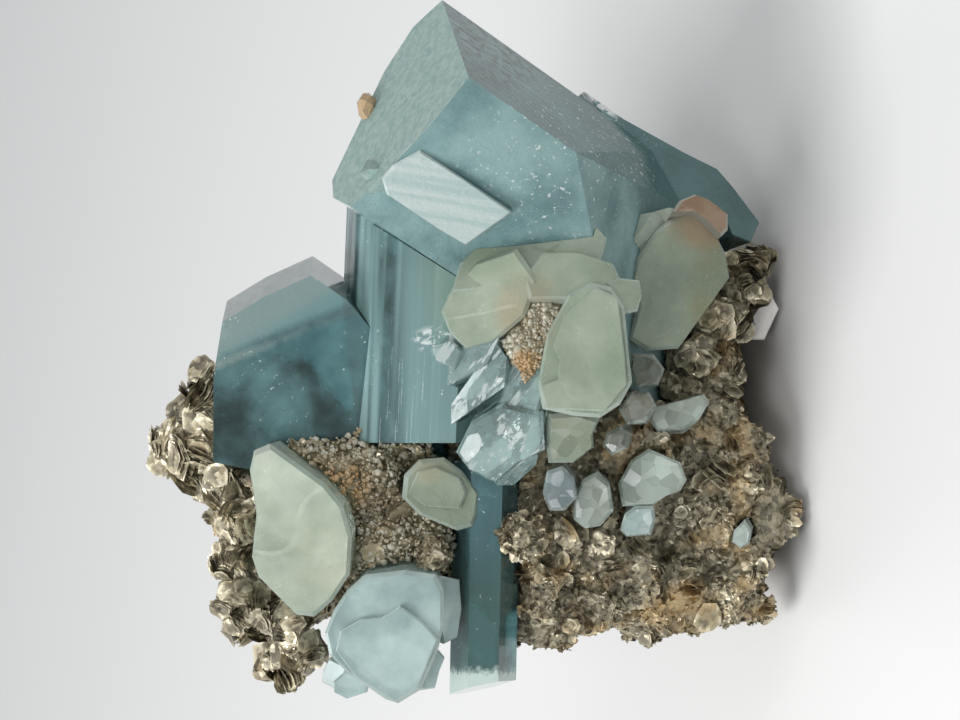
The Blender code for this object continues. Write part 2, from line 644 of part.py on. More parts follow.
FRONT_BOOKS = [
    # middle as seen (a, b), radius in millimetres and facing direction
    ((-118, -20), 16, (-0.75, 0.2, 0.6)), ((-102, -22), 18, (-0.35, 0.45, 0.8)),
    ((-124, -33), 12, (-0.6, -0.3, 0.7)), ((-90, -34), 14, (0.45, 0.25, 0.85)),
    ((-110, -46), 16, (-0.6, 0.3, 0.75)), ((-86, -52), 14, (-0.1, 0.4, 0.9)),
    ((-98, -64), 17, (-0.2, 0.15, 0.97)), ((-117, -74), 14, (-0.6, 0.3, 0.7)),
    ((-113, -94), 16, (-0.45, -0.2, 0.85)), ((-97, -88), 13, (0.5, 0.1, 0.85)),
    ((-108, -110), 14, (-0.3, 0.65, 0.7)), ((-111, -124), 12, (-0.6, -0.2, 0.75)),
    ((-92, -116), 14, (0.3, 0.2, 0.9)), ((-94, -132), 13, (-0.2, -0.3, 0.9)),
    ((-74, -100), 15, (0.1, 0.35, 0.93)), ((-56, -116), 14, (-0.2, 0.3, 0.9)),
    ((-72, -130), 15, (0.25, -0.1, 0.95)), ((-48, -102), 12, (0.3, 0.4, 0.86)),
    ((-36, -118), 14, (0.2, -0.1, 0.97)), ((-20, -108), 11, (0.4, -0.3, 0.86)),
    ((-4, -108), 12, (0.3, 0.2, 0.93)), ((-12, -88), 10, (-0.3, 0.4, 0.86)),
]
BACK_BOOKS = 11


def leaf_on(whole, place, facing, radius, chance):
    """Fuses one book of mica to the matrix at a place on its surface."""
    leaf = book("leaf", place, facing, radius, radius * chance.uniform(0.45, 0.7), chance,
                chance.uniform(1.0, 1.3), chance.uniform(0, 180))
    combine(whole, leaf, "UNION")
    bpy.context.view_layer.update()


def mica_matrix():
    """Mass of mica that the crystals grew on, with a flat cut foot."""
    chance = random.Random(11)
    blocks = [mound("mound", spot, radii, chance, MOUND_POINTS) for spot, radii in CORE_MOUNDS]
    whole = joined("mica_matrix", blocks)
    bpy.context.view_layer.update()
    eye = EYE * MM
    for (a, b), radius, normal in FRONT_BOOKS:
        hit, place, _, _ = whole.ray_cast(eye, (seen(a, b, 0.0) - eye).normalized())
        if hit:
            leaf_on(whole, place, direction(*normal), radius, chance)
    low, high = box_of(whole)
    middle = Vector((low + high) / 2)
    for i in range(BACK_BOOKS):
        turn = math.pi * (0.06 + 0.88 * ((i * 0.618) % 1.0))
        rise = -0.75 + 1.5 * (i + 0.5) / BACK_BOOKS
        aim = Vector((math.cos(turn), math.sin(turn), rise)).normalized()
        hit, place, facing, _ = whole.ray_cast(middle + aim * OUTSIDE, -aim)
        if hit:
            lean = (facing + Vector([chance.uniform(-0.6, 0.6) for _ in range(3)])).normalized()
            leaf_on(whole, place, lean, chance.uniform(14, 22), chance)
    trimmed(whole, Vector((0.0, 0.0, 0.0)), Vector((0.0, 0.0, -1.0)))
    return finish(whole, "matrix")


def build():
    """Makes every piece, then cuts each one back from those that were there before it."""
    for old in list(bpy.data.objects):
        bpy.data.objects.remove(old)
    pieces = [
        large_aquamarine(), green_beryl_cluster(), grey_green_plate(), clear_aquamarines(),
        pale_green_plate(), pale_blue_plate(), centre_plate(), brown_green_crystal(), grey_beryl(),
        *small_beryls(), stained_beryl(), albite_plate(), left_aquamarine(), upper_aquamarine(),
        middle_aquamarine(), mica_ball("upper_mica_ball", (-88, 21, 100), 9, 5),
        mica_ball("lower_mica_ball", (-79, -20, 104), 12, 6), mica_druse(),
        books("top_mica_rosette", TOP_BOOKS, 1), books("left_mica_books", LEFT_BOOKS, 2),
        books("foot_mica_books", FOOT_BOOKS, 4), mica_matrix(),
    ]
    for index, piece in enumerate(pieces):
        give_room(piece, pieces[:index])


build()
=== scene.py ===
"""Looks of the aquamarine specimen: see-through beryl, pale tablets, mica books and the flaky matrix."""
import functools
import math

import bmesh
import bpy
import numpy as np
from mathutils import Matrix, Vector
from mathutils.bvhtree import BVHTree


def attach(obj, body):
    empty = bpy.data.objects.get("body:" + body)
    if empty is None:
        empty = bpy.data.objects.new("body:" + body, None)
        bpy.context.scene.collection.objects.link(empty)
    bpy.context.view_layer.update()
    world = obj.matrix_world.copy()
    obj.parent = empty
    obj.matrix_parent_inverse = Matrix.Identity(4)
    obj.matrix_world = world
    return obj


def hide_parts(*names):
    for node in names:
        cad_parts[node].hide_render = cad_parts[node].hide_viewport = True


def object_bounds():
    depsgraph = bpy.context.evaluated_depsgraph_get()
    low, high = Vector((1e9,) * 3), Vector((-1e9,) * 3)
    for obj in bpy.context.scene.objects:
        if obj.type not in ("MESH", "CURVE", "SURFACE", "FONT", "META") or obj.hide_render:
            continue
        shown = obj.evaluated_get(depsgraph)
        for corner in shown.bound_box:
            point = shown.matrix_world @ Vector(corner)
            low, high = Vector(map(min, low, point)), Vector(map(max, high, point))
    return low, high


bl_info = {
    "name": "Aquamarine specimen",
    "version": (1, 0, 0),
    "blender": (4, 5, 0),
    "location": "3D View > Sidebar > Specimen",
    "description": "Dresses the aquamarine and mica specimen and sets it on a pale floor",
    "category": "Object",
}

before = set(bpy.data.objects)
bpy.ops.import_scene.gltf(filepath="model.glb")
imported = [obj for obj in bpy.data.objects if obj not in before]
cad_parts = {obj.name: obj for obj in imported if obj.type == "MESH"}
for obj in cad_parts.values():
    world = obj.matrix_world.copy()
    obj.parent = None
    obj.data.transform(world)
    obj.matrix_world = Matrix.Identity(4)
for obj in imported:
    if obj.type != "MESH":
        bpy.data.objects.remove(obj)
PACKED_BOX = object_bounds()

MM = 0.001
EYE_ELEVATION = math.radians(26.0)
EYE_DISTANCE = 1.26
VIEW_MIDDLE = Vector((-0.0011, 0.044, 0.110))
RIGHT = Vector((1.0, 0.0, 0.0))
UP = Vector((0.0, math.sin(EYE_ELEVATION), math.cos(EYE_ELEVATION)))
TOWARD = Vector((0.0, -math.cos(EYE_ELEVATION), math.sin(EYE_ELEVATION)))
LARGE_AXIS = (RIGHT * 0.49 + UP * 0.762 + TOWARD * 0.42).normalized()

CLEAR_NODES = ["large_aquamarine", "middle_aquamarine", "upper_aquamarine", "left_aquamarine",
               "clear_aquamarines"]
PALE_GREEN_NODES = ["green_beryl_cluster", "grey_green_plate", "pale_green_plate", "centre_plate",
                    "brown_green_crystal"]
PALE_BLUE_NODES = ["pale_blue_plate", "grey_beryl", "pale_beryl_round", "pale_beryl_left",
                   "pale_beryl_middle", "pale_beryl_right", "clear_beryl_upper", "clear_beryl_middle",
                   "clear_beryl_lower", "white_beryl_foot"]

BERYL_IOR = 1.577
# the veils mirror less than the bare crystal
VEIL_IOR = 1.3
MICA_IOR = 1.56
# width of the worn rim along the crystals' edges, and the least angle of an edge that gets it
EDGE_WEAR = 0.0004
WORN_ANGLE = math.radians(20.0)
# facets in a metre of the mica leaves, the clear crystals and the two kinds of intergrown beryl
FLAKE_FACETS = 430.0
BLADE_FACETS = 150.0
BROWN_FACETS = 150.0
SMALL_FACETS = 190.0
WHITE_FLECKS = (0.66, 0.74, 0.72)
# tone of the mica surface between the leaves
CORE_TONE = 0.25
# cup and wave of the sheets of the mica books, as shares of their radius
BOOK_CUP, BOOK_WAVE = 0.35, 0.04
# matrix corners below this height lie on the floor, and leaves stay above the other
CUT_HEIGHT = 0.0012
LEAF_HEIGHT = 0.002
# the stained hollow in the front view, in millimetres: its span to the right, its span upwards, and the
# place, radius and thickness of the small rosette in it
HOLLOW_SPAN = ((-98, -22), (8, 98))
HOLLOW_ROSETTE = (-31, 83)
ROSETTE_RADIUS, ROSETTE_THICKNESS = 12, 8
# grains of the hollow lie nearer to the camera than this plane, in metres from the middle of the view
HOLLOW_HEIGHT = 0.06
# grains on the crust and on the whole matrix, of which those in the hollow are kept
CRUST_GRAINS, MATRIX_GRAINS = 2400, 70000
# matrix corners at most this deep in a crystal are drawn out of it, to just above its face
BURIED, SKIN = 0.012, 0.0003

PRISMS = [
    # node, axis in the front view, share of haze and share of the absorption
    ("middle_aquamarine", (1.0, -0.045, 0.05), 0.5, 1.2),
    ("upper_aquamarine", (-0.21, -0.045, 0.97), 0.55, 1.7),
    ("left_aquamarine", (-1.0, 0.02, -0.10), 0.65, 1.9),
    ("clear_aquamarines", (0.05, 0.35, 0.93), 0.10, 0.22),
]
STAINS = {
    # stained spots of a tablet in the front view: centre, reach, colour and share
    "grey_green_plate": ((27, -106, 24, 12, (0.30, 0.28, 0.13), 0.6),
                         (60, -102, 10, 16, (0.45, 0.26, 0.12), 0.6)),
    "green_beryl_cluster": ((22, -22, 16, 14, (0.40, 0.27, 0.14), 0.5),
                            (50, 0, 12, 20, (0.26, 0.33, 0.22), 0.6)),
    "centre_plate": ((-42, 22, 14, 10, (0.36, 0.32, 0.20), 0.5),),
    "pale_green_plate": ((-30, 98, 14, 12, (0.40, 0.42, 0.36), 0.6),
                         (-90, 70, 14, 14, (0.36, 0.34, 0.22), 0.25)),
}
# two colours of the small crystals, and of those that aren't the usual pale grey-green
USUAL_TONES = ((0.50, 0.55, 0.47), (0.42, 0.52, 0.47))
SMALL_TONES = {
    "grey_beryl": ((0.19, 0.25, 0.26), (0.26, 0.32, 0.33)),
    "pale_beryl_left": ((0.38, 0.51, 0.49), (0.46, 0.57, 0.54)),
    "clear_beryl_upper": ((0.24, 0.27, 0.22), (0.33, 0.35, 0.28)),
    "clear_beryl_middle": ((0.26, 0.27, 0.22), (0.36, 0.35, 0.28)),
    "clear_beryl_lower": ((0.28, 0.28, 0.22), (0.36, 0.35, 0.28)),
}
TOP_BOOKS = [
    # centre in the front view, normal, radius and thickness in millimetres
    ((-34, 128, 52), (0.15, 0.75, 0.60), 21, 13), ((-46, 124, 62), (-0.55, 0.35, 0.75), 20, 10),
    ((-22, 118, 66), (0.45, 0.30, 0.85), 18, 9), ((-40, 138, 40), (-0.2, 0.25, 0.95), 15, 10),
    ((-12, 124, 48), (0.1, 0.85, 0.5), 15, 8), ((-58, 114, 72), (-0.5, 0.6, 0.6), 14, 7),
]
LEFT_BOOKS = [
    ((-109, 108, 84), (-0.25, 0.05, 0.97), 13.5, 13), ((-90, 112, 80), (0.1, 0.1, 0.99), 11.5, 12),
    ((-118, 105, 74), (-0.7, 0.1, 0.7), 13, 9), ((-136, 88, 70), (-0.15, 0.93, 0.3), 16, 9),
    ((-134, 94, 62), (0.05, 0.97, 0.25), 13, 6), ((-130, 80, 84), (-0.3, 0.5, 0.8), 13, 9),
    ((-118, 88, 92), (-0.2, 0.3, 0.9), 12, 10), ((-74, 108, 84), (0.1, 0.55, 0.83), 12, 7),
]
FOOT_BOOKS = [
    ((40, -118, 40), (0.25, -0.1, 0.95), 12, 12), ((30, -120, 34), (-0.75, -0.2, 0.6), 12, 12),
    ((16, -106, 52), (-0.35, -0.45, 0.8), 13, 9), ((2, -98, 60), (-0.55, -0.35, 0.75), 11, 9),
    ((44, -124, 28), (0.1, -0.6, 0.8), 11, 8), ((18, -114, 42), (-0.2, -0.6, 0.75), 12, 8),
]
LAMPS = [
    # name, place, size in metres and share of the key lamp's power
    ("key", RIGHT * -0.9 + UP * 1.3 + TOWARD * 0.95, 1.1, 1.0),
    ("fill", RIGHT * 1.4 + UP * 0.6 + TOWARD * 1.0, 1.4, 0.35),
    ("front", RIGHT * -0.25 + UP * 0.55 + TOWARD * 1.35, 0.45, 0.14),
    ("back", Vector((-0.8, 2.2, 1.9)), 1.4, 0.5),
]
LAMP_AIM = Vector((0.0, 0.0, 0.12))


def place_of(a, b, t):
    """World point that the front view shows at a to the right and b up, t towards it, in millimetres."""
    flat = (RIGHT * a + UP * b) * (1.0 - t / 1000.0 / EYE_DISTANCE)
    return VIEW_MIDDLE + (flat + TOWARD * t) * MM


def facing(a, b, t):
    """Unit world vector of a direction given in the front view."""
    return (RIGHT * a + UP * b + TOWARD * t).normalized()


def length_setting(name, description, default, low, high):
    """Length that the panel shows."""
    return bpy.props.FloatProperty(
        name=name, description=description, default=default, min=low, max=high, subtype="DISTANCE",
        unit="LENGTH")


def colour_setting(name, description, default):
    """Colour that the panel shows."""
    return bpy.props.FloatVectorProperty(
        name=name, description=description, default=default, min=0.0, max=1.0, subtype="COLOR", size=3)


class SpecimenSizes(bpy.types.PropertyGroup):
    """Sizes of the small mesh that the solids don't carry."""
    leaf_size: length_setting("Leaf size", "Middle radius of the small mica leaves", 0.0013, 0.0005, 0.01)
    small_fans: bpy.props.IntProperty(
        name="Small fans", description="Fans of small leaves in each layer on the matrix", default=9600,
        min=100, max=12000)
    large_fans: bpy.props.IntProperty(
        name="Large fans", description="Fans of larger curved leaves on the matrix", default=1100, min=10,
        max=2000)
    large_leaf: length_setting("Large leaf", "Middle radius of the larger curved leaves", 0.0031, 0.002, 0.02)
    grain_size: length_setting("Grain size", "Middle half width of the druse grains", 0.00068, 0.0003, 0.004)
    core_cell: length_setting(
        "Matrix cell", "Cell of the matrix surface between the leaves", 0.0017, 0.001, 0.01)
    cleft_depth: length_setting("Cleft depth", "Depth of the clefts between the mica fans", 0.004, 0.0, 0.01)
    sheet_gap: length_setting(
        "Sheet gap", "Spacing of the sheets in a large mica book", 0.0005, 0.0003, 0.003)


class SpecimenColours(bpy.types.PropertyGroup):
    """Colours and clearness of the minerals."""
    aquamarine: colour_setting(
        "Aquamarine", "What a long way through the clear crystals lets pass", (0.12, 0.48, 0.52))
    aquamarine_density: bpy.props.FloatProperty(
        name="Aquamarine density", description="How strongly the clear crystals absorb", default=46.0,
        min=0.0, max=100.0)
    milk: colour_setting("Veil", "Milky veils of the smaller aquamarines", (0.14, 0.265, 0.27))
    pale_green: colour_setting("Pale green", "Tabular beryl", (0.36, 0.44, 0.33))
    pale_blue: colour_setting("Pale blue", "Pale blue beryl", (0.34, 0.47, 0.46))
    mica: colour_setting("Mica", "Muscovite leaves", (0.37, 0.33, 0.225))
    stain: colour_setting("Iron stain", "Golden stain on the mica", (0.48, 0.31, 0.12))
    druse: colour_setting("Druse", "Small grains between the tablets", (0.42, 0.36, 0.23))
    albite: colour_setting("Albite", "White plate at the foot", (0.72, 0.71, 0.68))


class SpecimenStage(bpy.types.PropertyGroup):
    """Floor, lamps and camera."""
    floor: colour_setting("Floor", "Colour of the floor", (0.60, 0.60, 0.59))
    key: bpy.props.FloatProperty(
        name="Key lamp", description="Power of the large lamp by the camera", default=30.0, min=0.0,
        max=200.0)
    sky: bpy.props.FloatProperty(
        name="Room light", description="Strength of the even light all round", default=0.48, min=0.0,
        max=3.0)
    lens: bpy.props.FloatProperty(
        name="Lens", description="Focal length", default=105.0, min=20.0, max=300.0, unit="CAMERA")


class Socket:
    """One socket of a shader graph that can stand in a Python expression."""

    def __init__(self, graph, socket):
        self.graph = graph
        self.socket = socket

    def _maths(self, operation, first, second=None):
        node = self.graph.add("ShaderNodeMath", {"operation": operation}, {0: first, 1: second})
        return self.graph.out(node)

    def __add__(self, other):
        return self._maths("ADD", self, other)

    def __sub__(self, other):
        return self._maths("SUBTRACT", self, other)

    def __rsub__(self, other):
        return self._maths("SUBTRACT", other, self)

    def __mul__(self, other):
        return self._maths("MULTIPLY", self, other)

    def __truediv__(self, other):
        return self._maths("DIVIDE", self, other)

    __radd__ = __add__
    __rmul__ = __mul__

    def least(self, other):
        """The smaller of two values."""
        return self._maths("MINIMUM", self, other)

    def most(self, other):
        """The larger of two values."""
        return self._maths("MAXIMUM", self, other)

    def distance(self):
        """The value without its sign."""
        return self._maths("ABSOLUTE", self)

    def rise(self, low, high):
        """0 below low and 1 above high, with a smooth step between; low may be the larger."""
        node = self.graph.add("ShaderNodeMapRange", {"interpolation_type": "SMOOTHSTEP"}, {
            "Value": self, "From Min": low, "From Max": high, "To Min": 0.0, "To Max": 1.0})
        return self.graph.out(node, "Result")


class Graph:
    """Node tree of one material."""

    def __init__(self, name):
        self.material = bpy.data.materials.new(name)
        self.material.use_nodes = True
        self.tree = self.material.node_tree
        self.tree.nodes.clear()
        self.output = self.tree.nodes.new("ShaderNodeOutputMaterial")
        self.place = self.out(self.add("ShaderNodeTexCoord"), "Object")
        self.normal = self.out(self.add("ShaderNodeNewGeometry"), "Normal")

    def add(self, kind, settings=None, sockets=None):
        """Adds a node: its settings first, then the values or links of its sockets."""
        node = self.tree.nodes.new(kind)
        for key, value in (settings or {}).items():
            setattr(node, key, value)
        for key, value in (sockets or {}).items():
            if value is None:
                continue
            target = node.inputs[key]
            if isinstance(value, Socket):
                self.tree.links.new(value.socket, target)
            elif hasattr(value, "__len__") and len(value) == 3 and target.type == "RGBA":
                target.default_value = (*value, 1.0)
            else:
                target.default_value = value
        return node

    def out(self, node, name=0):
        """Output of a node as a value for expressions."""
        return Socket(self, node.outputs[name])

    def vector(self, operation, first, second):
        """Result of a vector operation."""
        node = self.add("ShaderNodeVectorMath", {"operation": operation}, {0: first, 1: second})
        return self.out(node, "Value" if operation == "DOT_PRODUCT" else "Vector")

    def dot(self, vector, direction):
        """Length of a vector along a direction."""
        return self.vector("DOT_PRODUCT", vector, tuple(direction))

    def stretched(self, along, amount):
        """Position squeezed along a direction, so that a texture on it draws out into lines."""
        along = Vector(along).normalized()
        push = self.vector("MULTIPLY", tuple(along), self.dot(self.place, along) * -amount)
        return self.vector("ADD", self.place, push)

    def noise(self, scale, detail=4.0, rough=0.55, at=None):
        """Cloudy value near 0.5."""
        node = self.add("ShaderNodeTexNoise", None, {
            "Vector": at or self.place, "Scale": scale, "Detail": detail, "Roughness": rough})
        return self.out(node, "Fac")

    def cells(self, scale):
        """Distance from the middles of random cells."""
        return self.out(self.add("ShaderNodeTexVoronoi", None, {"Vector": self.place, "Scale": scale}))

    def facets(self, scale, at=None):
        """Random flat facets: one random value for each, and their height in metres."""
        where = at or self.place
        cells = self.add("ShaderNodeTexVoronoi", None, {"Vector": where, "Scale": scale})
        value = self.out(cells, "Color")
        inward = self.vector("SUBTRACT", where, self.out(cells, "Position"))
        lean = self.vector("SUBTRACT", value, (0.5, 0.5, 0.5))
        return value, self.vector("DOT_PRODUCT", inward, lean)

    def near(self, a, b, radius_a, radius_b, soft=0.3):
        """1 near a spot of the front view, in millimetres, and 0 away from it."""
        across, rising = self.front
        across = (across - a * MM) * (1.0 / (radius_a * MM))
        rising = (rising - b * MM) * (1.0 / (radius_b * MM))
        return (across * across + rising * rising).rise(1.0 + soft, 1.0 - soft)

    @functools.cached_property
    def front(self):
        """Place to the right and place upwards in the front view, with its perspective."""
        moved = self.vector("SUBTRACT", self.place, tuple(VIEW_MIDDLE))
        shrink = 1.0 - self.dot(moved, TOWARD) * (1.0 / EYE_DISTANCE)
        return self.dot(moved, RIGHT) / shrink, self.dot(moved, UP) / shrink

    def tone(self):
        """Tone of each leaf or grain, with the painted highlight on the rims of the sheets."""
        return self.out(self.add("ShaderNodeAttribute", {"attribute_name": "tone"}), "Fac")

    def face(self, direction, low=0.93, high=0.97):
        """1 on faces that look along a direction."""
        return self.dot(self.normal, direction).rise(low, high)

    def blend(self, share, first, second):
        """Colour between two others."""
        node = self.add("ShaderNodeMix", {"data_type": "RGBA"}, {0: share, 6: first, 7: second})
        return self.out(node, 2)

    def bump(self, height, strength, distance, normal=None):
        """Normal of a surface with that relief."""
        node = self.add("ShaderNodeBump", None, {
            "Strength": strength, "Distance": distance, "Height": height, "Normal": normal})
        return self.out(node, "Normal")

    def shader(self, **sockets):
        """Principled shader from sockets named with underscores."""
        named = {key.replace("_", " "): value for key, value in sockets.items()}
        return self.out(self.add("ShaderNodeBsdfPrincipled", None, named), "BSDF")

    def between(self, share, first, second):
        """One shader over another."""
        return self.out(self.add("ShaderNodeMixShader", None, {0: share, 1: first, 2: second}))

    def finish(self, surface, volume=None):
        """Links the material's output and returns the material."""
        self.tree.links.new(surface.socket, self.output.inputs["Surface"])
        if volume is not None:
            self.tree.links.new(volume.socket, self.output.inputs["Volume"])
        return self.material

    def absorption(self, colour, density):
        """Volume that tints what passes through it."""
        return self.out(self.add("ShaderNodeVolumeAbsorption", None, {"Color": colour, "Density": density}))


def dress(node_name, material, worn=True):
    """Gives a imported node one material, and its sharp edges a narrow worn rim."""
    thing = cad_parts[node_name]
    thing.data.materials.clear()
    thing.data.materials.append(material)
    if worn:
        rim = thing.modifiers.new("Worn edges", "BEVEL")
        rim.width = EDGE_WEAR
        rim.segments = 2
        rim.limit_method = "ANGLE"
        rim.angle_limit = WORN_ANGLE


class Veil:
    """Milky veil of a crystal: its share and its colour, built up zone by zone."""

    def __init__(self, graph, share, colour):
        self.graph = graph
        self.share = share
        self.colour = colour

    def zone(self, where, colour, tint=1.0, milk=None):
        """Tints a zone, and makes it at least as milky as the given share."""
        self.colour = self.graph.blend(where * tint, self.colour, colour)
        if milk is not None:
            self.share = self.share.most(where * milk)


def clear_crystal(veil, most_milk, relief, rough, tint=(0.86, 0.97, 0.97)):
    """Clear crystal with milky veils."""
    graph = veil.graph
    glass = graph.shader(
        Base_Color=tint, Roughness=rough, IOR=BERYL_IOR, Transmission_Weight=1.0, Normal=relief)
    milk = graph.shader(Base_Color=veil.colour, Roughness=rough, IOR=VEIL_IOR, Normal=relief)
    return graph.between(veil.share.least(most_milk), glass, milk)


def tablet_mask(g):
    """1 on the parallel tablet on the front of the large crystal."""
    across, rising = g.front
    normal = facing(-0.42, -0.10, 0.88)
    height = normal.dot(place_of(72, 14, 138))
    turn = g.dot(g.normal, normal)
    mask = g.near(72, 14, 30, 38, 0.2) * g.dot(g.place, normal).rise(height - 0.006, height - 0.003)
    mask = mask * turn.rise(0.986, 0.992).most(turn.rise(0.7, 0.6))
    return mask * (across * 0.826 - rising * 0.563).rise(0.0636, 0.0628)


def large_material(colours):
    """Large crystal: a frosted end, a rough face, a face with painted shade and a pale tablet on its front.
    """
    g = Graph("large_aquamarine_look")
    across, rising = g.front
    lines = g.noise(420.0, 3.0, 0.6, g.stretched(LARGE_AXIS, 0.97))
    etched = g.noise(330.0, 6.0, 0.65)
    clouds = g.noise(26.0, 5.0, 0.6)
    reach = g.dot(g.place, LARGE_AXIS)
    end = g.face(LARGE_AXIS).most(g.near(86, 49, 11, 11, 0.2) * reach.rise(0.205, 0.209))
    rough_face = g.face(facing(-0.46, -0.18, 0.87), 0.93, 0.96)
    # painted shade: the face that looks right and down in the front view, away from the key lamp, is picked
    # by its normal
    dark = g.face(facing(0.71, -0.63, 0.31), 0.9, 0.96)

    milky = (clouds.rise(0.2, 0.65) * 0.38 + 0.36).most(rough_face * (etched * 0.5 + 0.15))
    veil = Veil(g, milky, g.blend(clouds.rise(0.3, 0.7), (0.18, 0.31, 0.31), (0.28, 0.415, 0.405)))
    # painted shade: that face gets a dark blue-green veil, and its etched pits are nearly black
    veil.zone(dark, g.blend(clouds.rise(0.4, 0.7), (0.045, 0.105, 0.105), (0.09, 0.17, 0.17)), 0.9, 0.88)
    pits = dark * g.near(146, -10, 24, 26, 0.4) * etched.rise(0.49, 0.55)
    veil.zone(pits, (0.02, 0.045, 0.045), milk=1.0)
    low_end = (rising - across * 0.25).rise(-0.082, -0.094)
    veil.zone(low_end, (0.06, 0.125, 0.125), 0.8)
    veil.zone(end, g.blend(etched.rise(0.35, 0.65), (0.22, 0.33, 0.30), (0.33, 0.42, 0.39)), milk=0.8)
    flecks = g.noise(520.0, 2.0, 0.6).rise(0.64, 0.69) * g.near(88, -36, 34, 44, 0.6)
    veil.zone(flecks, (0.56, 0.64, 0.61), milk=(1 - end) * 0.8)
    streaks = g.noise(260.0, 3.0, 0.6, g.stretched(facing(-0.15, -0.98, -0.18), 0.95)).rise(0.35, 0.65)
    veil.zone(tablet_mask(g), g.blend(streaks, (0.37, 0.47, 0.45), (0.48, 0.55, 0.53)), milk=0.85)
    lump = g.near(116, 52, 10, 8, 0.2) * (1 - end) * reach.rise(0.2165, 0.2180)
    veil.zone(lump, (0.40, 0.29, 0.17), milk=1.0)
    edge_line = (across * 0.832 - rising * 0.555).rise(0.1236, 0.1244)
    strip = edge_line * g.near(121, -50, 14, 20, 0.3) * etched.rise(0.40, 0.48)
    veil.zone(strip, (0.70, 0.72, 0.70), milk=0.9)

    relief = g.bump(lines * 0.4 + etched * (end * 0.5 + rough_face * 1.1 + 0.08), 0.4, 0.0012)
    rough = (end * 0.45).most(rough_face * etched * 0.35) + 0.05
    surface = clear_crystal(veil, 0.92, relief, rough)
    return g.finish(surface, g.absorption(tuple(colours.aquamarine), colours.aquamarine_density * 0.8))


def middle_zones(veil, bands, etched):
    """Pale bands along the crystal that lies across the middle, its low part and a greenish end."""
    g = veil.graph
    low = g.front[1].rise(0.046, 0.030)
    wide = bands.rise(0.42, 0.58)
    veil.share = veil.share.most(low * 0.6).most(wide * 0.65)
    veil.zone((low * 0.6).most(wide * 0.8), (0.33, 0.49, 0.475))
    veil.zone(g.near(45, 9, 40, 16, 0.8), (0.31, 0.44, 0.30), 0.4)
    veil.zone(g.near(9, 20, 6, 10, 0.5) * etched.rise(0.45, 0.55), WHITE_FLECKS, milk=0.8)


def upper_zones(veil, clouds, etched):
    """Growth band, milky upper zone, pale rim and frosted side of the crystal seen nearly end on."""
    g = veil.graph
    across, rising = g.front
    level = across + rising * 0.393 + clouds * 0.006
    band = (level - 0.0478).distance().rise(0.0035, 0.0005) * clouds.rise(0.3, 0.55)
    veil.colour = g.blend(0.35, veil.colour, (0.06, 0.13, 0.135))
    veil.zone(level.rise(0.045, 0.054), (0.21, 0.34, 0.34), 0.75, 0.55)
    rim = g.dot(g.place, facing(0.86, 0.50, 0.2)).rise(0.128, 0.139)
    veil.share = veil.share.most(rim * 0.5).most(band * 0.35)
    veil.zone(rim.most(band), (0.27, 0.36, 0.34))
    frost = g.blend(etched.rise(0.4, 0.6), (0.20, 0.27, 0.26), (0.36, 0.43, 0.41))
    veil.zone(g.dot(g.normal, RIGHT).rise(0.68, 0.78), frost, milk=0.65)


def left_zones(veil, etched):
    """Deep green outer half and white tip of the long crystal on the left."""
    g = veil.graph
    across = g.front[0]
    deep = g.blend(across.rise(-0.075, -0.110), (0.062, 0.13, 0.145), (0.040, 0.080, 0.068))
    veil.colour = g.blend(0.75, veil.colour, deep)
    veil.share = (veil.share + 0.2).most(0.62)
    veil.zone((across - etched * 0.012).rise(-0.1435, -0.148), (0.46, 0.55, 0.51), milk=0.85)


def prism_material(name, axis, haze, absorption_share, colours):
    """One of the smaller aquamarines, with growth lines along its axis."""
    g = Graph(name + "_look")
    lines = g.noise(380.0, 3.0, 0.6, g.stretched(axis, 0.97))
    bands = g.noise(90.0, 2.0, 0.5, g.stretched(axis, 0.985))
    clouds = g.noise(34.0, 5.0, 0.6)
    etched = g.noise(300.0, 5.0, 0.6)
    tinted = g.blend(bands.rise(0.35, 0.65), tuple(colours.milk), (0.17, 0.33, 0.33))
    veil = Veil(g, clouds.rise(0.3, 0.75) * haze + 0.10, tinted)
    relief = g.bump(lines * 0.6 + etched * 0.05, 0.35, 0.001)
    if name == "middle_aquamarine":
        middle_zones(veil, bands, etched)
    elif name == "upper_aquamarine":
        upper_zones(veil, clouds, etched)
    elif name == "left_aquamarine":
        left_zones(veil, etched)
    else:
        drawn = facing(-0.8, 0.6, 0.1)
        long_lines = g.stretched(drawn, 0.93)
        blades, blade_height = g.facets(BLADE_FACETS, g.stretched(drawn, 0.6))
        veil = Veil(g, clouds.rise(0.3, 0.7) * 0.3 + blades * 0.3, (0.44, 0.60, 0.57))
        veil.zone(g.noise(230.0, 3.0, 0.6, long_lines).rise(0.54, 0.60), WHITE_FLECKS, milk=0.5)
        relief = g.bump(blade_height, 0.6, 1.0, g.bump(g.noise(300.0, 2.0, 0.5, long_lines), 0.3, 0.001))
    flecks = g.noise(600.0, 2.0, 0.6).rise(0.67, 0.71) * clouds.rise(0.48, 0.6)
    veil.zone(flecks, WHITE_FLECKS, milk=0.8)
    surface = clear_crystal(veil, 0.9, relief, etched * 0.10 + 0.02)
    density = colours.aquamarine_density * absorption_share
    return g.finish(surface, g.absorption(tuple(colours.aquamarine), density))


class SPECIMEN_OT_aquamarines(bpy.types.Operator):
    """Makes the aquamarines see-through, with frosted ends, growth lines and veils"""
    bl_idname = "specimen.aquamarines"
    bl_label = "Aquamarines"

    def execute(self, context):
        colours = context.scene.specimen_colours
        dress("large_aquamarine", large_material(colours))
        for name, axis, haze, absorption_share in PRISMS:
            dress(name, prism_material(name, facing(*axis), haze, absorption_share, colours))
        return {"FINISHED"}


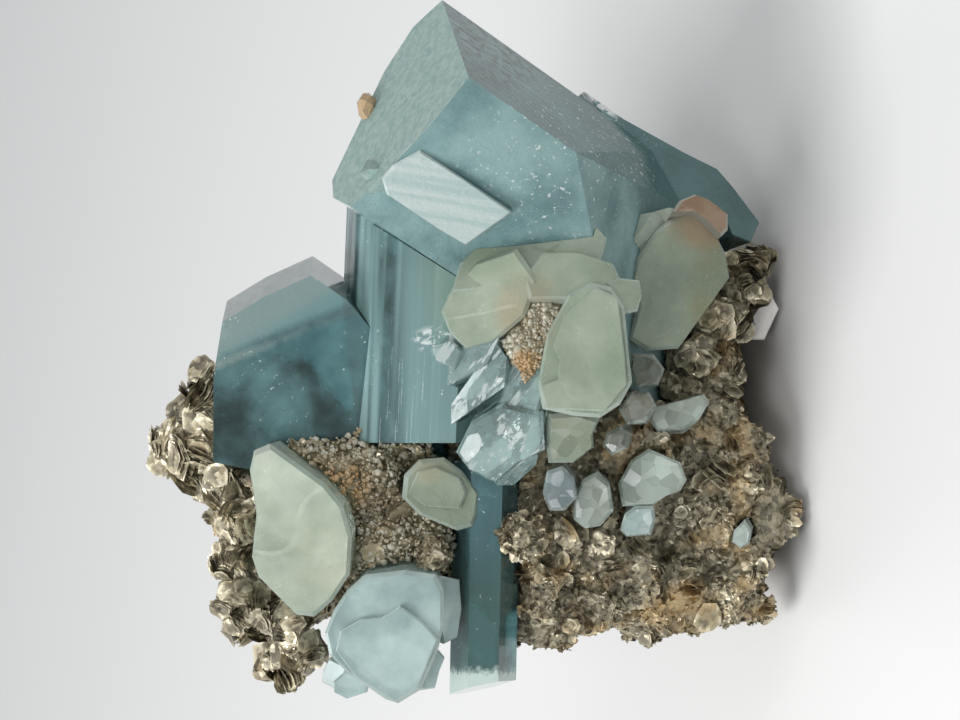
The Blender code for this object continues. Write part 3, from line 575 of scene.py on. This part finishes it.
def tablet_material(name, tones, haze, density, rough, growth=0.0, stains=(), intergrown=None):
    """Milky see-through beryl of the tabular crystals."""
    colour, second = tones
    g = Graph(name)
    clouds = g.noise(40.0, 5.0, 0.6)
    fine = g.noise(420.0, 5.0, 0.6)
    steps = g.noise(16.0, 1.0, 0.3) * 5.0
    curl = g.out(g.add("ShaderNodeMath", {"operation": "FRACT"}, {0: steps})).rise(0.0, 0.06)
    sugar = g.cells(330.0).rise(0.18, 0.06) * clouds.rise(0.5, 0.64)
    veil = Veil(g, clouds.rise(0.25, 0.8) * 0.25 + haze, g.blend(clouds.rise(0.32, 0.68), colour, second))
    veil.zone(g.noise(11.0, 2.0, 0.5).rise(0.35, 0.65), tuple(c * 0.62 for c in colour), 0.5)
    veil.zone(1 - g.face(TOWARD, 0.75, 0.9), (0.50, 0.58, 0.54), 0.5)
    veil.zone(sugar, (0.62, 0.68, 0.62), 0.7, 0.8)
    for *zone, tint, share in stains:
        veil.zone(g.near(*zone, 0.8) * clouds.rise(0.3, 0.6), tint, share)
    uneven = g.bump(g.noise(30.0, 2.0, 0.5), 0.35, 0.004)
    relief = g.bump(fine * 0.12 + curl * growth, 0.25, 0.0010, uneven)
    if intergrown is not None:
        parts, part_height = g.facets(intergrown)
        relief = g.bump(part_height, 0.5, 1.0, relief)
        veil.share = veil.share + (parts - 0.5) * 0.35
        veil.zone(parts.rise(0.45, 0.8), (0.55, 0.62, 0.57), 0.28)
    surface = clear_crystal(veil, 0.95, relief, fine * 0.2 + rough, (0.92, 0.98, 0.94))
    return g.finish(surface, g.absorption(tuple(min(1.0, c * 1.5) for c in colour), density))


class SPECIMEN_OT_pale_beryls(bpy.types.Operator):
    """Gives the tabular and the small beryls their milky see-through look"""
    bl_idname = "specimen.pale_beryls"
    bl_label = "Pale beryls"

    def execute(self, context):
        colours = context.scene.specimen_colours
        green, blue = tuple(colours.pale_green), tuple(colours.pale_blue)
        for name in PALE_GREEN_NODES:
            second, intergrown = (0.42, 0.48, 0.37), None
            if name == "brown_green_crystal":
                second, intergrown = (0.36, 0.36, 0.27), BROWN_FACETS
            dress(name, tablet_material(name + "_look", (green, second), 0.46, 14.0, 0.14, 0.5,
                                        STAINS.get(name, ()), intergrown))
        for name in PALE_BLUE_NODES:
            haze = 0.22 if name.startswith("clear") else 0.45
            tones, growth, intergrown = (blue, (0.42, 0.54, 0.52)), 0.4, None
            if name != "pale_blue_plate":
                tones, growth, intergrown = SMALL_TONES.get(name, USUAL_TONES), 0.0, SMALL_FACETS
            dress(name, tablet_material(name + "_look", tones, haze, 16.0, 0.10, growth, (), intergrown))
        tones = ((0.38, 0.21, 0.11), (0.44, 0.34, 0.24))
        dress("stained_beryl", tablet_material("stained_beryl_look", tones, 0.45, 30.0, 0.12))
        return {"FINISHED"}


def mica_material(name, colour, stain, stain_share, druse=None):
    """Silvery brown mica with a leaf to leaf change of tone, a painted highlight on the rims of the sheets,
    and golden stains.
    """
    g = Graph(name)
    tone = g.tone()
    patches = g.noise(42.0, 5.0, 0.65)
    fine = g.noise(900.0, 3.0, 0.6)
    flakes, flake_height = g.facets(FLAKE_FACETS)
    tone = (tone + (flakes - 0.5) * 0.7).most(0.0)
    dark = tuple(c * 0.38 for c in colour)
    light = tuple(min(1.0, c * lift) for c, lift in zip(colour, (2.1, 2.15, 2.3)))
    # the tone also carries the painted highlight on the rims of the sheets, so the rims come out lighter
    body = g.blend(tone.rise(0.0, 0.5), dark, colour)
    body = g.blend(tone.rise(0.5, 1.0), body, light)
    stained = patches.rise(0.47, 0.66) * stain_share
    body = g.blend(stained * (tone * 0.6 + 0.4), body, stain)
    if druse is not None:
        hollow = g.near(-60, 53, 42, 46, 0.2) * g.dot(g.place, TOWARD).rise(0.075, 0.09)
        body = g.blend(hollow * (1 - tone) * 0.85, body, druse)
    relief = g.bump(flake_height, 0.6, 1.0, g.bump(fine * 0.3, 0.3, 0.0005))
    return g.finish(g.shader(
        Base_Color=body, Roughness=0.42 - tone * 0.2, Metallic=0.3, IOR=MICA_IOR, Normal=relief))


def placed(name, data):
    """New object in the scene."""
    thing = bpy.data.objects.new(name, data)
    bpy.context.scene.collection.objects.link(thing)
    return thing


def riding(name, mesh):
    """Piece that rides on the specimen."""
    thing = placed(name, mesh)
    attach(thing, "root")
    return thing


def add_tones(mesh, tones):
    """Gives a mesh its attribute of leaf tones."""
    layer = mesh.attributes.new("tone", "FLOAT", "POINT")
    layer.data.foreach_set("value", np.asarray(tones, np.float32))


def mesh_piece(name, corners, faces, tones, material):
    """Joined mesh of many small parts that rides on the specimen."""
    mesh = bpy.data.meshes.new(name)
    mesh.vertices.add(len(corners))
    mesh.vertices.foreach_set("co", np.asarray(corners, np.float32).ravel())
    sizes = np.full(len(faces), faces.shape[1], np.int32)
    mesh.loops.add(int(sizes.sum()))
    mesh.loops.foreach_set("vertex_index", faces.astype(np.int32).ravel())
    mesh.polygons.add(len(faces))
    mesh.polygons.foreach_set("loop_start", (np.cumsum(sizes) - sizes).astype(np.int32))
    mesh.update(calc_edges=True)
    add_tones(mesh, tones)
    mesh.materials.append(material)
    return riding(name, mesh)


def surface_points(mesh, count, chance):
    """Random places on a mesh, with the outward normals there."""
    mesh.calc_loop_triangles()
    triangles = np.empty(len(mesh.loop_triangles) * 3, np.int32)
    mesh.loop_triangles.foreach_get("vertices", triangles)
    triangles = triangles.reshape(-1, 3)
    spots = corners_of(mesh)
    first, second, third = (spots[triangles[:, i]] for i in range(3))
    cross = np.cross(second - first, third - first)
    area = np.linalg.norm(cross, axis=1)
    picked = chance.choice(len(triangles), count, p=area / area.sum())
    u, v = chance.random(count), chance.random(count)
    over = u + v > 1.0
    u[over], v[over] = 1.0 - u[over], 1.0 - v[over]
    places = first[picked] + (second - first)[picked] * u[:, None] + (third - first)[picked] * v[:, None]
    return places, cross[picked] / area[picked][:, None]


def corners_of(mesh):
    """Places of a mesh's vertices, one row each."""
    spots = np.empty(len(mesh.vertices) * 3, np.float32)
    mesh.vertices.foreach_get("co", spots)
    return spots.reshape(-1, 3).astype(float)


def tree_of(names):
    """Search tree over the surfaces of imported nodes."""
    corners, faces = [], []
    for name in names:
        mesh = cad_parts[name].data
        start = len(corners)
        corners.extend(vert.co.copy() for vert in mesh.vertices)
        faces.extend([start + i for i in poly.vertices] for poly in mesh.polygons)
    return BVHTree.FromPolygons(corners, faces)


def clearance(tree, place):
    """Distance to the nearest crystal, negative inside it."""
    hit, normal, _, distance = tree.find_nearest(Vector(place))
    if hit is None:
        return 1.0
    return distance if (Vector(place) - hit).dot(normal) > 0.0 else -distance


def unit(vectors):
    """Vectors of length one."""
    return vectors / np.maximum(np.linalg.norm(vectors, axis=1, keepdims=True), 1e-12)


def across_of(normals, chance):
    """Two unit vectors across each normal, at a random turn."""
    first = unit(np.cross(normals, unit(chance.normal(size=normals.shape))))
    return first, np.cross(normals, first)


def corners_round(first, second, turns, reach):
    """Corners round a middle in the plane of two unit vectors, for each part."""
    return (first[:, None, :] * (np.cos(turns) * reach)[:, :, None]
            + second[:, None, :] * (np.sin(turns) * reach)[:, :, None])


def leaf_mesh(places, normals, sizes, chance):
    """Small six-sided leaves, a little bent: corners and triangles."""
    sides = 6
    count = len(places)
    first, second = across_of(normals, chance)
    turns = (np.arange(sides) + chance.uniform(-0.25, 0.25, (count, sides))) * (math.tau / sides)
    reach = sizes[:, None] * chance.uniform(0.72, 1.1, (count, sides))
    stretch = chance.uniform(0.4, 1.0, count)[:, None]
    rim = places[:, None, :] + corners_round(first, second * stretch, turns, reach)
    lift = chance.uniform(-1.0, 1.0, (count, sides)) * sizes[:, None] * 0.12
    rim = (rim + normals[:, None, :] * lift[:, :, None]).reshape(-1, 3)
    start = (np.arange(count) * sides)[:, None]
    faces = [start + np.array([[0, i, i + 1]]) for i in range(1, sides - 1)]
    return rim, np.concatenate(faces), sides


def sheet_mesh(places, normals, sizes, chance, cup=0.16, wave=0.05, book=None, sides=12):
    """Larger curved sheets of mica with a wavy rim, bent alike within a book: corners and triangles."""
    count = len(places)
    book = np.arange(count) if book is None else book
    aside = unit(chance.normal(size=(book.max() + 1, 3)))[book]
    first = unit(np.cross(normals, aside))
    second = np.cross(normals, first)
    base = (np.arange(sides) / sides * math.tau)[None, :]
    phase = chance.uniform(0, math.tau, (book.max() + 1, 3, 1))[book]
    shape = 1.0 + 0.08 * np.cos(2 * base + phase[:, 0]) + 0.07 * np.cos(3 * base + phase[:, 1])
    shape = shape * (1.0 + 0.05 * np.cos(6 * base)) * chance.uniform(0.86, 1.04, (count, sides))
    bend = chance.uniform(-1.0, 1.0, (book.max() + 1, 1))[book] * cup
    rows = [places[:, None, :]]
    for share in (0.55, 1.0):
        flat = corners_round(first, second, base, sizes[:, None] * shape * share)
        lift = sizes[:, None] * (bend * share ** 2 * np.cos(base + phase[:, 2]) ** 2
                                 + share * wave * np.sin(4 * base + phase[:, 0]))
        rows.append(places[:, None, :] + flat + normals[:, None, :] * lift[:, :, None])
    corners = np.concatenate(rows, axis=1).reshape(-1, 3)
    start = (np.arange(count) * (2 * sides + 1))[:, None]
    faces = []
    for i in range(sides):
        j = (i + 1) % sides
        faces.append(start + np.array([[0, 1 + i, 1 + j]]))
        faces.append(start + np.array([[1 + i, 1 + sides + i, 1 + sides + j]]))
        faces.append(start + np.array([[1 + i, 1 + sides + j, 1 + j]]))
    return corners, np.concatenate(faces), 2 * sides + 1


def inside_box(corners, per_part, margin=0.0001):
    """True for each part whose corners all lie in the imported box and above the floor."""
    low, high = (np.array(corner[:]) for corner in PACKED_BOX)
    within = np.all((corners > low + margin) & (corners < high - margin), axis=1)
    return within.reshape(-1, per_part).all(axis=1)


def fans(mesh, count, size, leaves, blockers, chance, stand=0.9):
    """Fans of mica leaves that stand on a mesh: places, normals and sizes."""
    spots, out = surface_points(mesh, count, chance)
    free = [i for i, spot in enumerate(spots)
            if spot[2] > LEAF_HEIGHT and clearance(blockers, spot + out[i] * size * 0.5) > size * 0.3]
    spots, out = spots[free], out[free]
    heading = unit(out * stand + unit(chance.normal(size=out.shape)) * 0.8)
    scale = size * chance.lognormal(0.0, 0.42, len(spots)).clip(0.45, 2.4)
    places, normals, sizes = [], [], []
    for k in range(leaves):
        drift = unit(chance.normal(size=out.shape))
        step = (k - leaves * 0.6) * 0.16
        places.append(spots + heading * (scale * step)[:, None] + drift * (scale * 0.25)[:, None]
                      - out * (scale * 0.12)[:, None])
        normals.append(unit(heading + drift * 0.22))
        sizes.append(scale * chance.uniform(0.7, 1.05, len(spots)))
    return np.concatenate(places), np.concatenate(normals), np.concatenate(sizes)


def clear_of(places, sizes, blockers):
    """Rows whose leaf stays out of the crystals."""
    return np.array([clearance(blockers, place) > size * 0.5 for place, size in zip(places, sizes)])


def kept_piece(name, made, tones, material):
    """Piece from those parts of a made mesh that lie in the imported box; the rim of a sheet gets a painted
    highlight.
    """
    corners, faces, per_part = made
    # painted highlight: a sheet's middle, inner ring and rim scale its tone by 0.3, 0.5 and 1.5, so its rim
    # is lighter
    rings = np.ones(per_part)
    if per_part % 2:
        rings[0] = 0.3
        rings[1:1 + per_part // 2] = 0.5
        rings[1 + per_part // 2:] = 1.5
    tones = (tones[:, None] * rings).clip(0.0, 1.0).ravel()
    keep = np.repeat(inside_box(corners, per_part), per_part)
    shift = np.cumsum(keep) - 1
    faces = shift[faces[keep[faces[:, 0]]]]
    return mesh_piece(name, corners[keep], faces, tones[keep], material)


def leaves_piece(name, rows, material, blockers, chance, shape=leaf_mesh):
    """One joined mesh of leaves from their places, normals and sizes."""
    free = clear_of(rows[0], rows[2], blockers)
    places, normals, sizes = (values[free] for values in rows)
    tones = chance.beta(1.5, 2.2, len(places))
    return kept_piece(name, shape(places, normals, sizes, chance), tones, material)


def crystals_tree():
    """Search tree over all the crystals that leaves must stay out of."""
    return tree_of(CLEAR_NODES + PALE_GREEN_NODES + PALE_BLUE_NODES + ["stained_beryl", "albite_plate"])


def rough_core(name, node_name, cell, depth, blockers, material):
    """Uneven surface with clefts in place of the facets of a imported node."""
    thing = placed(name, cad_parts[node_name].data.copy())
    even = thing.modifiers.new("Even", "REMESH")
    even.mode = "VOXEL"
    even.voxel_size = cell
    soft = thing.modifiers.new("Soft", "SMOOTH")
    soft.factor = 0.5
    soft.iterations = 5
    for kind, scale, share in (("CLOUDS", 0.016, 1.0), ("VORONOI", 0.007, 0.5), ("CLOUDS", 0.0035, 0.35)):
        texture = bpy.data.textures.new(name + kind, kind)
        texture.noise_scale = scale
        push = thing.modifiers.new(kind, "DISPLACE")
        push.texture = texture
        push.mid_level = 0.8
        push.strength = depth * share
    graph = bpy.context.evaluated_depsgraph_get()
    mesh = bpy.data.meshes.new_from_object(thing.evaluated_get(graph))
    bpy.data.objects.remove(thing)
    low, high = (np.array(corner[:]) for corner in PACKED_BOX)
    spots = np.clip(corners_of(mesh), low, high)
    spots[spots[:, 2] < CUT_HEIGHT, 2] = 0.0
    for i, spot in enumerate(spots):
        hit, normal, _, distance = blockers.find_nearest(Vector(spot))
        if (Vector(spot) - hit).dot(normal) < 0.0 and distance < BURIED:
            spots[i] = hit + normal * SKIN
    mesh.vertices.foreach_set("co", spots.astype(np.float32).ravel())
    mesh.update()
    mesh.materials.clear()
    mesh.materials.append(material)
    add_tones(mesh, np.full(len(spots), CORE_TONE))
    thing = riding(name, mesh)
    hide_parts(node_name)
    return thing


class SPECIMEN_OT_matrix(bpy.types.Operator):
    """Makes the cleft surface of the matrix and covers it with fans of mica leaves"""
    bl_idname = "specimen.matrix"
    bl_label = "Mica matrix"

    def execute(self, context):
        sizes, colours = context.scene.specimen_sizes, context.scene.specimen_colours
        chance = np.random.default_rng(21)
        blockers = crystals_tree()
        look = mica_material("matrix_look", tuple(colours.mica), tuple(colours.stain), 0.9,
                             tuple(colours.druse))
        core = rough_core("matrix_surface", "mica_matrix", sizes.core_cell, sizes.cleft_depth, blockers, look)
        for layer, stand in (("first", 0.9), ("second", 0.5), ("third", 0.3)):
            rows = fans(core.data, sizes.small_fans, sizes.leaf_size, 4, blockers, chance, stand)
            leaves_piece(f"matrix_leaves_{layer}", rows, look, blockers, chance)
        rows = fans(core.data, sizes.large_fans, sizes.large_leaf, 7, blockers, chance, 0.2)
        leaves_piece("matrix_large_leaves", rows, look, blockers, chance,
                     functools.partial(sheet_mesh, sides=8))
        return {"FINISHED"}


def petals_of(books, petals, chance):
    """Smaller tilted books round the middle of each book, as in a rosette, in world places."""
    rows = []
    for spot, normal, radius, thickness in books:
        middle, normal = Vector(spot), Vector(normal)
        radius, thickness = radius * MM, thickness * MM
        rows.append((middle - normal * (thickness * 0.15), normal, radius * 0.86, thickness * 0.8))
        side = normal.cross(Vector(chance.normal(size=3))).normalized()
        for k in range(petals):
            turned = Matrix.Rotation(math.tau * (k + 0.5 * chance.random()) / petals, 3, normal) @ side
            tilt = (normal * chance.uniform(0.25, 1.0) + turned * chance.uniform(0.3, 1.0)
                    + Vector(chance.normal(size=3)) * 0.2).normalized()
            heart = middle + turned * (radius * 0.46) + normal * (thickness * chance.uniform(0.0, 0.3))
            rows.append((heart, tilt, radius * chance.uniform(0.42, 0.6), thickness * 0.75))
    return rows


def book_rows(books, gap, chance):
    """Splayed sheets of several mica books: places, normals, sizes and the book of each."""
    places, normals, sizes, owners = [], [], [], []
    for owner, (middle, normal, reach, thickness) in enumerate(books):
        count = int(thickness / gap)
        side = normal.cross(Vector(chance.normal(size=3))).normalized()
        for k in range(count):
            level = (k + 0.5) / count - 0.5
            drift = Vector(chance.normal(size=3)) * 0.05
            lean = level * 0.9
            heading = (side * math.cos(lean) + normal * math.sin(lean)).normalized()
            places.append(middle + normal * (level * thickness * 0.6) - side * (reach * 0.5)
                          + heading * (reach * 0.5) + drift * (reach * 0.8))
            normals.append((normal * math.cos(lean) - side * math.sin(lean) + drift).normalized())
            sizes.append(reach * chance.uniform(0.70, 0.98) * (1.0 - 0.45 * max(level, 0.0)))
            owners.append(owner)
    return np.array(places), np.array(normals), np.array(sizes), np.array(owners)


def sheets_piece(name, books, petals, material, gap, blockers, chance):
    """One joined mesh of the splayed sheets of several books."""
    *rows, owners = book_rows(petals_of(books, petals, chance), gap, chance)
    corners, faces, per_part = sheet_mesh(*rows, chance, BOOK_CUP, BOOK_WAVE, owners)
    corners = drawn_back(corners, per_part, blockers)
    tones = chance.beta(1.8, 1.8, len(rows[0]))
    return kept_piece(name, (corners, faces, per_part), tones, material)


class SPECIMEN_OT_mica_books(bpy.types.Operator):
    """Makes the mica books from many thin curved sheets and covers the balls with leaves"""
    bl_idname = "specimen.mica_books"
    bl_label = "Mica books"

    def execute(self, context):
        sizes, colours = context.scene.specimen_sizes, context.scene.specimen_colours
        chance = np.random.default_rng(5)
        blockers = crystals_tree()
        look = mica_material("books_look", tuple(c * 0.95 for c in colours.mica), tuple(colours.stain), 0.3)
        for name, books in (("top_mica_rosette", TOP_BOOKS), ("left_mica_books", LEFT_BOOKS),
                            ("foot_mica_books", FOOT_BOOKS)):
            books = [(place_of(*book[0]), facing(*book[1]), *book[2:]) for book in books]
            sheets = sheets_piece(name + "_sheets", books, 6, look, sizes.sheet_gap, blockers, chance)
            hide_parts(name)
            rows = fans(sheets.data, 260, sizes.leaf_size, 4, blockers, chance)
            leaves_piece(name + "_leaves", rows, look, blockers, chance)
        rosette = (*front_spot(*HOLLOW_ROSETTE, ["mica_matrix"]), ROSETTE_RADIUS, ROSETTE_THICKNESS)
        sheets_piece("hollow_rosette", [rosette], 9, look, sizes.sheet_gap, blockers, chance)
        for name, count in (("upper_mica_ball", 260), ("lower_mica_ball", 420)):
            core = rough_core(name + "_surface", name, sizes.core_cell * 0.7, sizes.cleft_depth * 0.5,
                              blockers, look)
            rows = fans(core.data, count, sizes.leaf_size * 1.2, 5, blockers, chance, 0.5)
            leaves_piece(name + "_leaves", rows, look, blockers, chance)
        return {"FINISHED"}


def front_spot(a, b, names):
    """Place where the front view meets the named nodes at a and b, and the direction out of the surface."""
    # a millimetre short of the camera
    eye = place_of(0, 0, EYE_DISTANCE / MM - 1.0)
    spot, normal, _, _ = tree_of(names).ray_cast(eye, (place_of(a, b, 0) - eye).normalized())
    return spot, (normal + TOWARD).normalized()


def drawn_back(corners, per_part, blockers):
    """Corners of the sheets with those that would enter a crystal drawn back to the middle."""
    parts = corners.reshape(-1, per_part, 3)
    for part in parts:
        middle = part[0].copy()
        for i in range(1, per_part):
            for share in (1.0, 0.8, 0.6, 0.4, 0.2, 0.0):
                spot = middle + (part[i] - middle) * share
                if clearance(blockers, spot) > 0.0002:
                    break
            part[i] = spot
    return parts.reshape(-1, 3)


def grain_mesh(places, normals, sizes, chance):
    """Small six-sided tablets with a blunt rim: corners and triangles."""
    sides = 6
    count = len(places)
    first, second = across_of(normals, chance)
    turns = (np.arange(sides) + chance.uniform(-0.2, 0.2, (count, sides))) * (math.tau / sides)
    rings = []
    for level, scale in ((-0.7, 0.75), (0.15, 1.15), (0.5, 0.8)):
        rings.append(places[:, None, :] + normals[:, None, :] * (sizes * level)[:, None, None]
                     + corners_round(first, second, turns, sizes[:, None] * scale))
    corners = np.concatenate(rings, axis=1).reshape(-1, 3)
    start = (np.arange(count) * sides * 3)[:, None]
    faces = []
    for ring in (0, sides):
        for i in range(sides):
            j = (i + 1) % sides
            faces.append(start + np.array([[ring + i, ring + j, ring + sides + j]]))
            faces.append(start + np.array([[ring + i, ring + sides + j, ring + sides + i]]))
    for i in range(1, sides - 1):
        faces.append(start + np.array([[2 * sides, 2 * sides + i, 2 * sides + i + 1]]))
        faces.append(start + np.array([[0, i + 1, i]]))
    return corners, np.concatenate(faces), sides * 3


def druse_material(colours):
    """Glassy pale grains with golden patches."""
    g = Graph("druse_look")
    body = g.blend(g.tone().rise(0.1, 0.9), tuple(colours.druse), (0.70, 0.68, 0.55))
    body = g.blend(g.noise(60.0, 4.0, 0.6).rise(0.5, 0.64) * 0.55, body, (0.58, 0.36, 0.16))
    golden = g.near(-56, 61, 10, 13, 0.8).most(g.near(0, -21, 5, 6, 0.8))
    body = g.blend(golden * 0.65, body, (0.72, 0.43, 0.16))
    return g.finish(g.shader(Base_Color=body, Roughness=0.14, IOR=1.55, Transmission_Weight=0.45))


def in_hollow(spot):
    """True in the stained hollow between the left tablets."""
    away = Vector(spot) - VIEW_MIDDLE
    shrink = 1.0 - away.dot(TOWARD) / EYE_DISTANCE
    inside = [low < away.dot(direction) / shrink / MM < high
              for direction, (low, high) in zip((RIGHT, UP), HOLLOW_SPAN)]
    return all(inside) and away.dot(TOWARD) > HOLLOW_HEIGHT


def grains_piece(name, source, count, keep, size, material, blockers, chance):
    """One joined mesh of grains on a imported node, at the places that a test lets through."""
    spots, out = surface_points(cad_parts[source].data, count, chance)
    rows = [i for i, spot in enumerate(spots)
            if keep(spot) and clearance(blockers, spot + out[i] * size) > size]
    spots, out = spots[rows], out[rows]
    scale = size * chance.lognormal(0.0, 0.4, len(spots)).clip(0.4, 2.6)
    heading = unit(out + unit(chance.normal(size=out.shape)) * 0.95)
    raised = spots + out * (scale * 0.2)[:, None]
    corners, faces, per_part = grain_mesh(raised, heading, scale, chance)
    tones = np.repeat(chance.random(len(spots)), per_part)
    mesh_piece(name, corners, faces, tones, material)


class SPECIMEN_OT_druse(bpy.types.Operator):
    """Covers the crust between the tablets with small stained grains"""
    bl_idname = "specimen.druse"
    bl_label = "Druse"

    def execute(self, context):
        size = context.scene.specimen_sizes.grain_size
        chance = np.random.default_rng(9)
        look = druse_material(context.scene.specimen_colours)
        dress("mica_druse", look, worn=False)
        blockers = crystals_tree()
        grains_piece("druse_grains", "mica_druse", CRUST_GRAINS, lambda spot: True, size, look, blockers,
                     chance)
        grains_piece("stained_druse_grains", "mica_matrix", MATRIX_GRAINS, in_hollow, size, look, blockers,
                     chance)
        return {"FINISHED"}


def albite_material(colour):
    """White plate with fine cleavage lines."""
    g = Graph("albite_look")
    clouds = g.noise(90.0, 5.0, 0.6)
    cleaved = g.noise(700.0, 4.0, 0.6, g.stretched((1.0, 0.3, 0.2), 0.9))
    body = g.blend(clouds.rise(0.35, 0.65), colour, (0.60, 0.57, 0.53))
    relief = g.bump(cleaved, 0.5, 0.0008)
    return g.finish(g.shader(Base_Color=body, Roughness=0.35, IOR=1.53, Normal=relief))


class SPECIMEN_OT_albite(bpy.types.Operator):
    """Gives the white plate at the foot its look"""
    bl_idname = "specimen.albite"
    bl_label = "Albite"

    def execute(self, context):
        dress("albite_plate", albite_material(tuple(context.scene.specimen_colours.albite)))
        return {"FINISHED"}


def pale_floor(colour):
    """Round floor of one pale colour."""
    mesh = bpy.data.meshes.new("floor")
    edit = bmesh.new()
    bmesh.ops.create_circle(edit, cap_ends=True, segments=96, radius=6.0)
    edit.to_mesh(mesh)
    edit.free()
    floor = placed("floor", mesh)
    g = Graph("floor_look")
    shade = g.blend(g.noise(3.0, 3.0, 0.5), colour, tuple(c * 0.97 for c in colour))
    mesh.materials.append(g.finish(g.shader(Base_Color=shade, Roughness=0.75)))


def room_light(strength):
    """Even light all round."""
    world = bpy.data.worlds.new("room")
    world.use_nodes = True
    background = world.node_tree.nodes["Background"]
    background.inputs["Color"].default_value = (0.93, 0.95, 1.0, 1.0)
    background.inputs["Strength"].default_value = strength
    return world


def soft_lamp(name, spot, size, power):
    """Round lamp that shines on the specimen."""
    lamp = bpy.data.lights.new(name, "AREA")
    lamp.shape = "DISK"
    lamp.size = size
    lamp.energy = power
    thing = placed(name, lamp)
    thing.location = spot
    thing.rotation_euler = (LAMP_AIM - spot).to_track_quat("-Z", "Y").to_euler()


def front_camera(lens):
    """Camera of the front view, on its side, so that the specimen's top is on the left."""
    camera = bpy.data.cameras.new("camera")
    camera.lens = lens
    camera.sensor_width = 36.0
    camera.clip_start = 0.05
    camera.clip_end = 20.0
    thing = placed("camera", camera)
    turned = Matrix((-UP, RIGHT, TOWARD)).transposed().to_4x4()
    turned.translation = VIEW_MIDDLE + TOWARD * EYE_DISTANCE
    thing.matrix_world = turned
    return thing


class SPECIMEN_OT_stage(bpy.types.Operator):
    """Sets the pale floor, the soft lamps and the camera"""
    bl_idname = "specimen.stage"
    bl_label = "Floor, lamps and camera"

    def execute(self, context):
        scene = context.scene
        stage = scene.specimen_stage
        pale_floor(tuple(stage.floor))
        scene.world = room_light(stage.sky)
        scene.view_settings.view_transform = "Standard"
        for name, spot, size, share in LAMPS:
            soft_lamp(name, spot, size, stage.key * share)
        scene.camera = front_camera(stage.lens)
        return {"FINISHED"}


class SPECIMEN_PT_panel(bpy.types.Panel):
    """Sizes, colours and steps of the specimen"""
    bl_label = "Aquamarine specimen"
    bl_idname = "SPECIMEN_PT_panel"
    bl_space_type = "VIEW_3D"
    bl_region_type = "UI"
    bl_category = "Specimen"

    def draw(self, context):
        scene = context.scene
        for group in (scene.specimen_sizes, scene.specimen_colours, scene.specimen_stage):
            box = self.layout.box()
            for name in group.bl_rna.properties.keys():
                if name not in ("rna_type", "name"):
                    box.prop(group, name)
        for operator in OPERATORS:
            self.layout.operator(operator.bl_idname)


OPERATORS = (SPECIMEN_OT_aquamarines, SPECIMEN_OT_pale_beryls, SPECIMEN_OT_mica_books, SPECIMEN_OT_matrix,
             SPECIMEN_OT_druse, SPECIMEN_OT_albite, SPECIMEN_OT_stage)
CLASSES = (SpecimenSizes, SpecimenColours, SpecimenStage, *OPERATORS, SPECIMEN_PT_panel)


def register():
    """Adds the classes and the scene's settings."""
    for cls in CLASSES:
        bpy.utils.register_class(cls)
    bpy.types.Scene.specimen_sizes = bpy.props.PointerProperty(type=SpecimenSizes)
    bpy.types.Scene.specimen_colours = bpy.props.PointerProperty(type=SpecimenColours)
    bpy.types.Scene.specimen_stage = bpy.props.PointerProperty(type=SpecimenStage)


def unregister():
    """Takes them away again."""
    del bpy.types.Scene.specimen_stage
    del bpy.types.Scene.specimen_colours
    del bpy.types.Scene.specimen_sizes
    for cls in reversed(CLASSES):
        bpy.utils.unregister_class(cls)


def main():
    """Dresses the specimen step by step."""
    register()
    bpy.ops.specimen.aquamarines()
    bpy.ops.specimen.pale_beryls()
    bpy.ops.specimen.mica_books()
    bpy.ops.specimen.matrix()
    bpy.ops.specimen.druse()
    bpy.ops.specimen.albite()
    bpy.ops.specimen.stage()


if __name__ == "__main__":
    main()
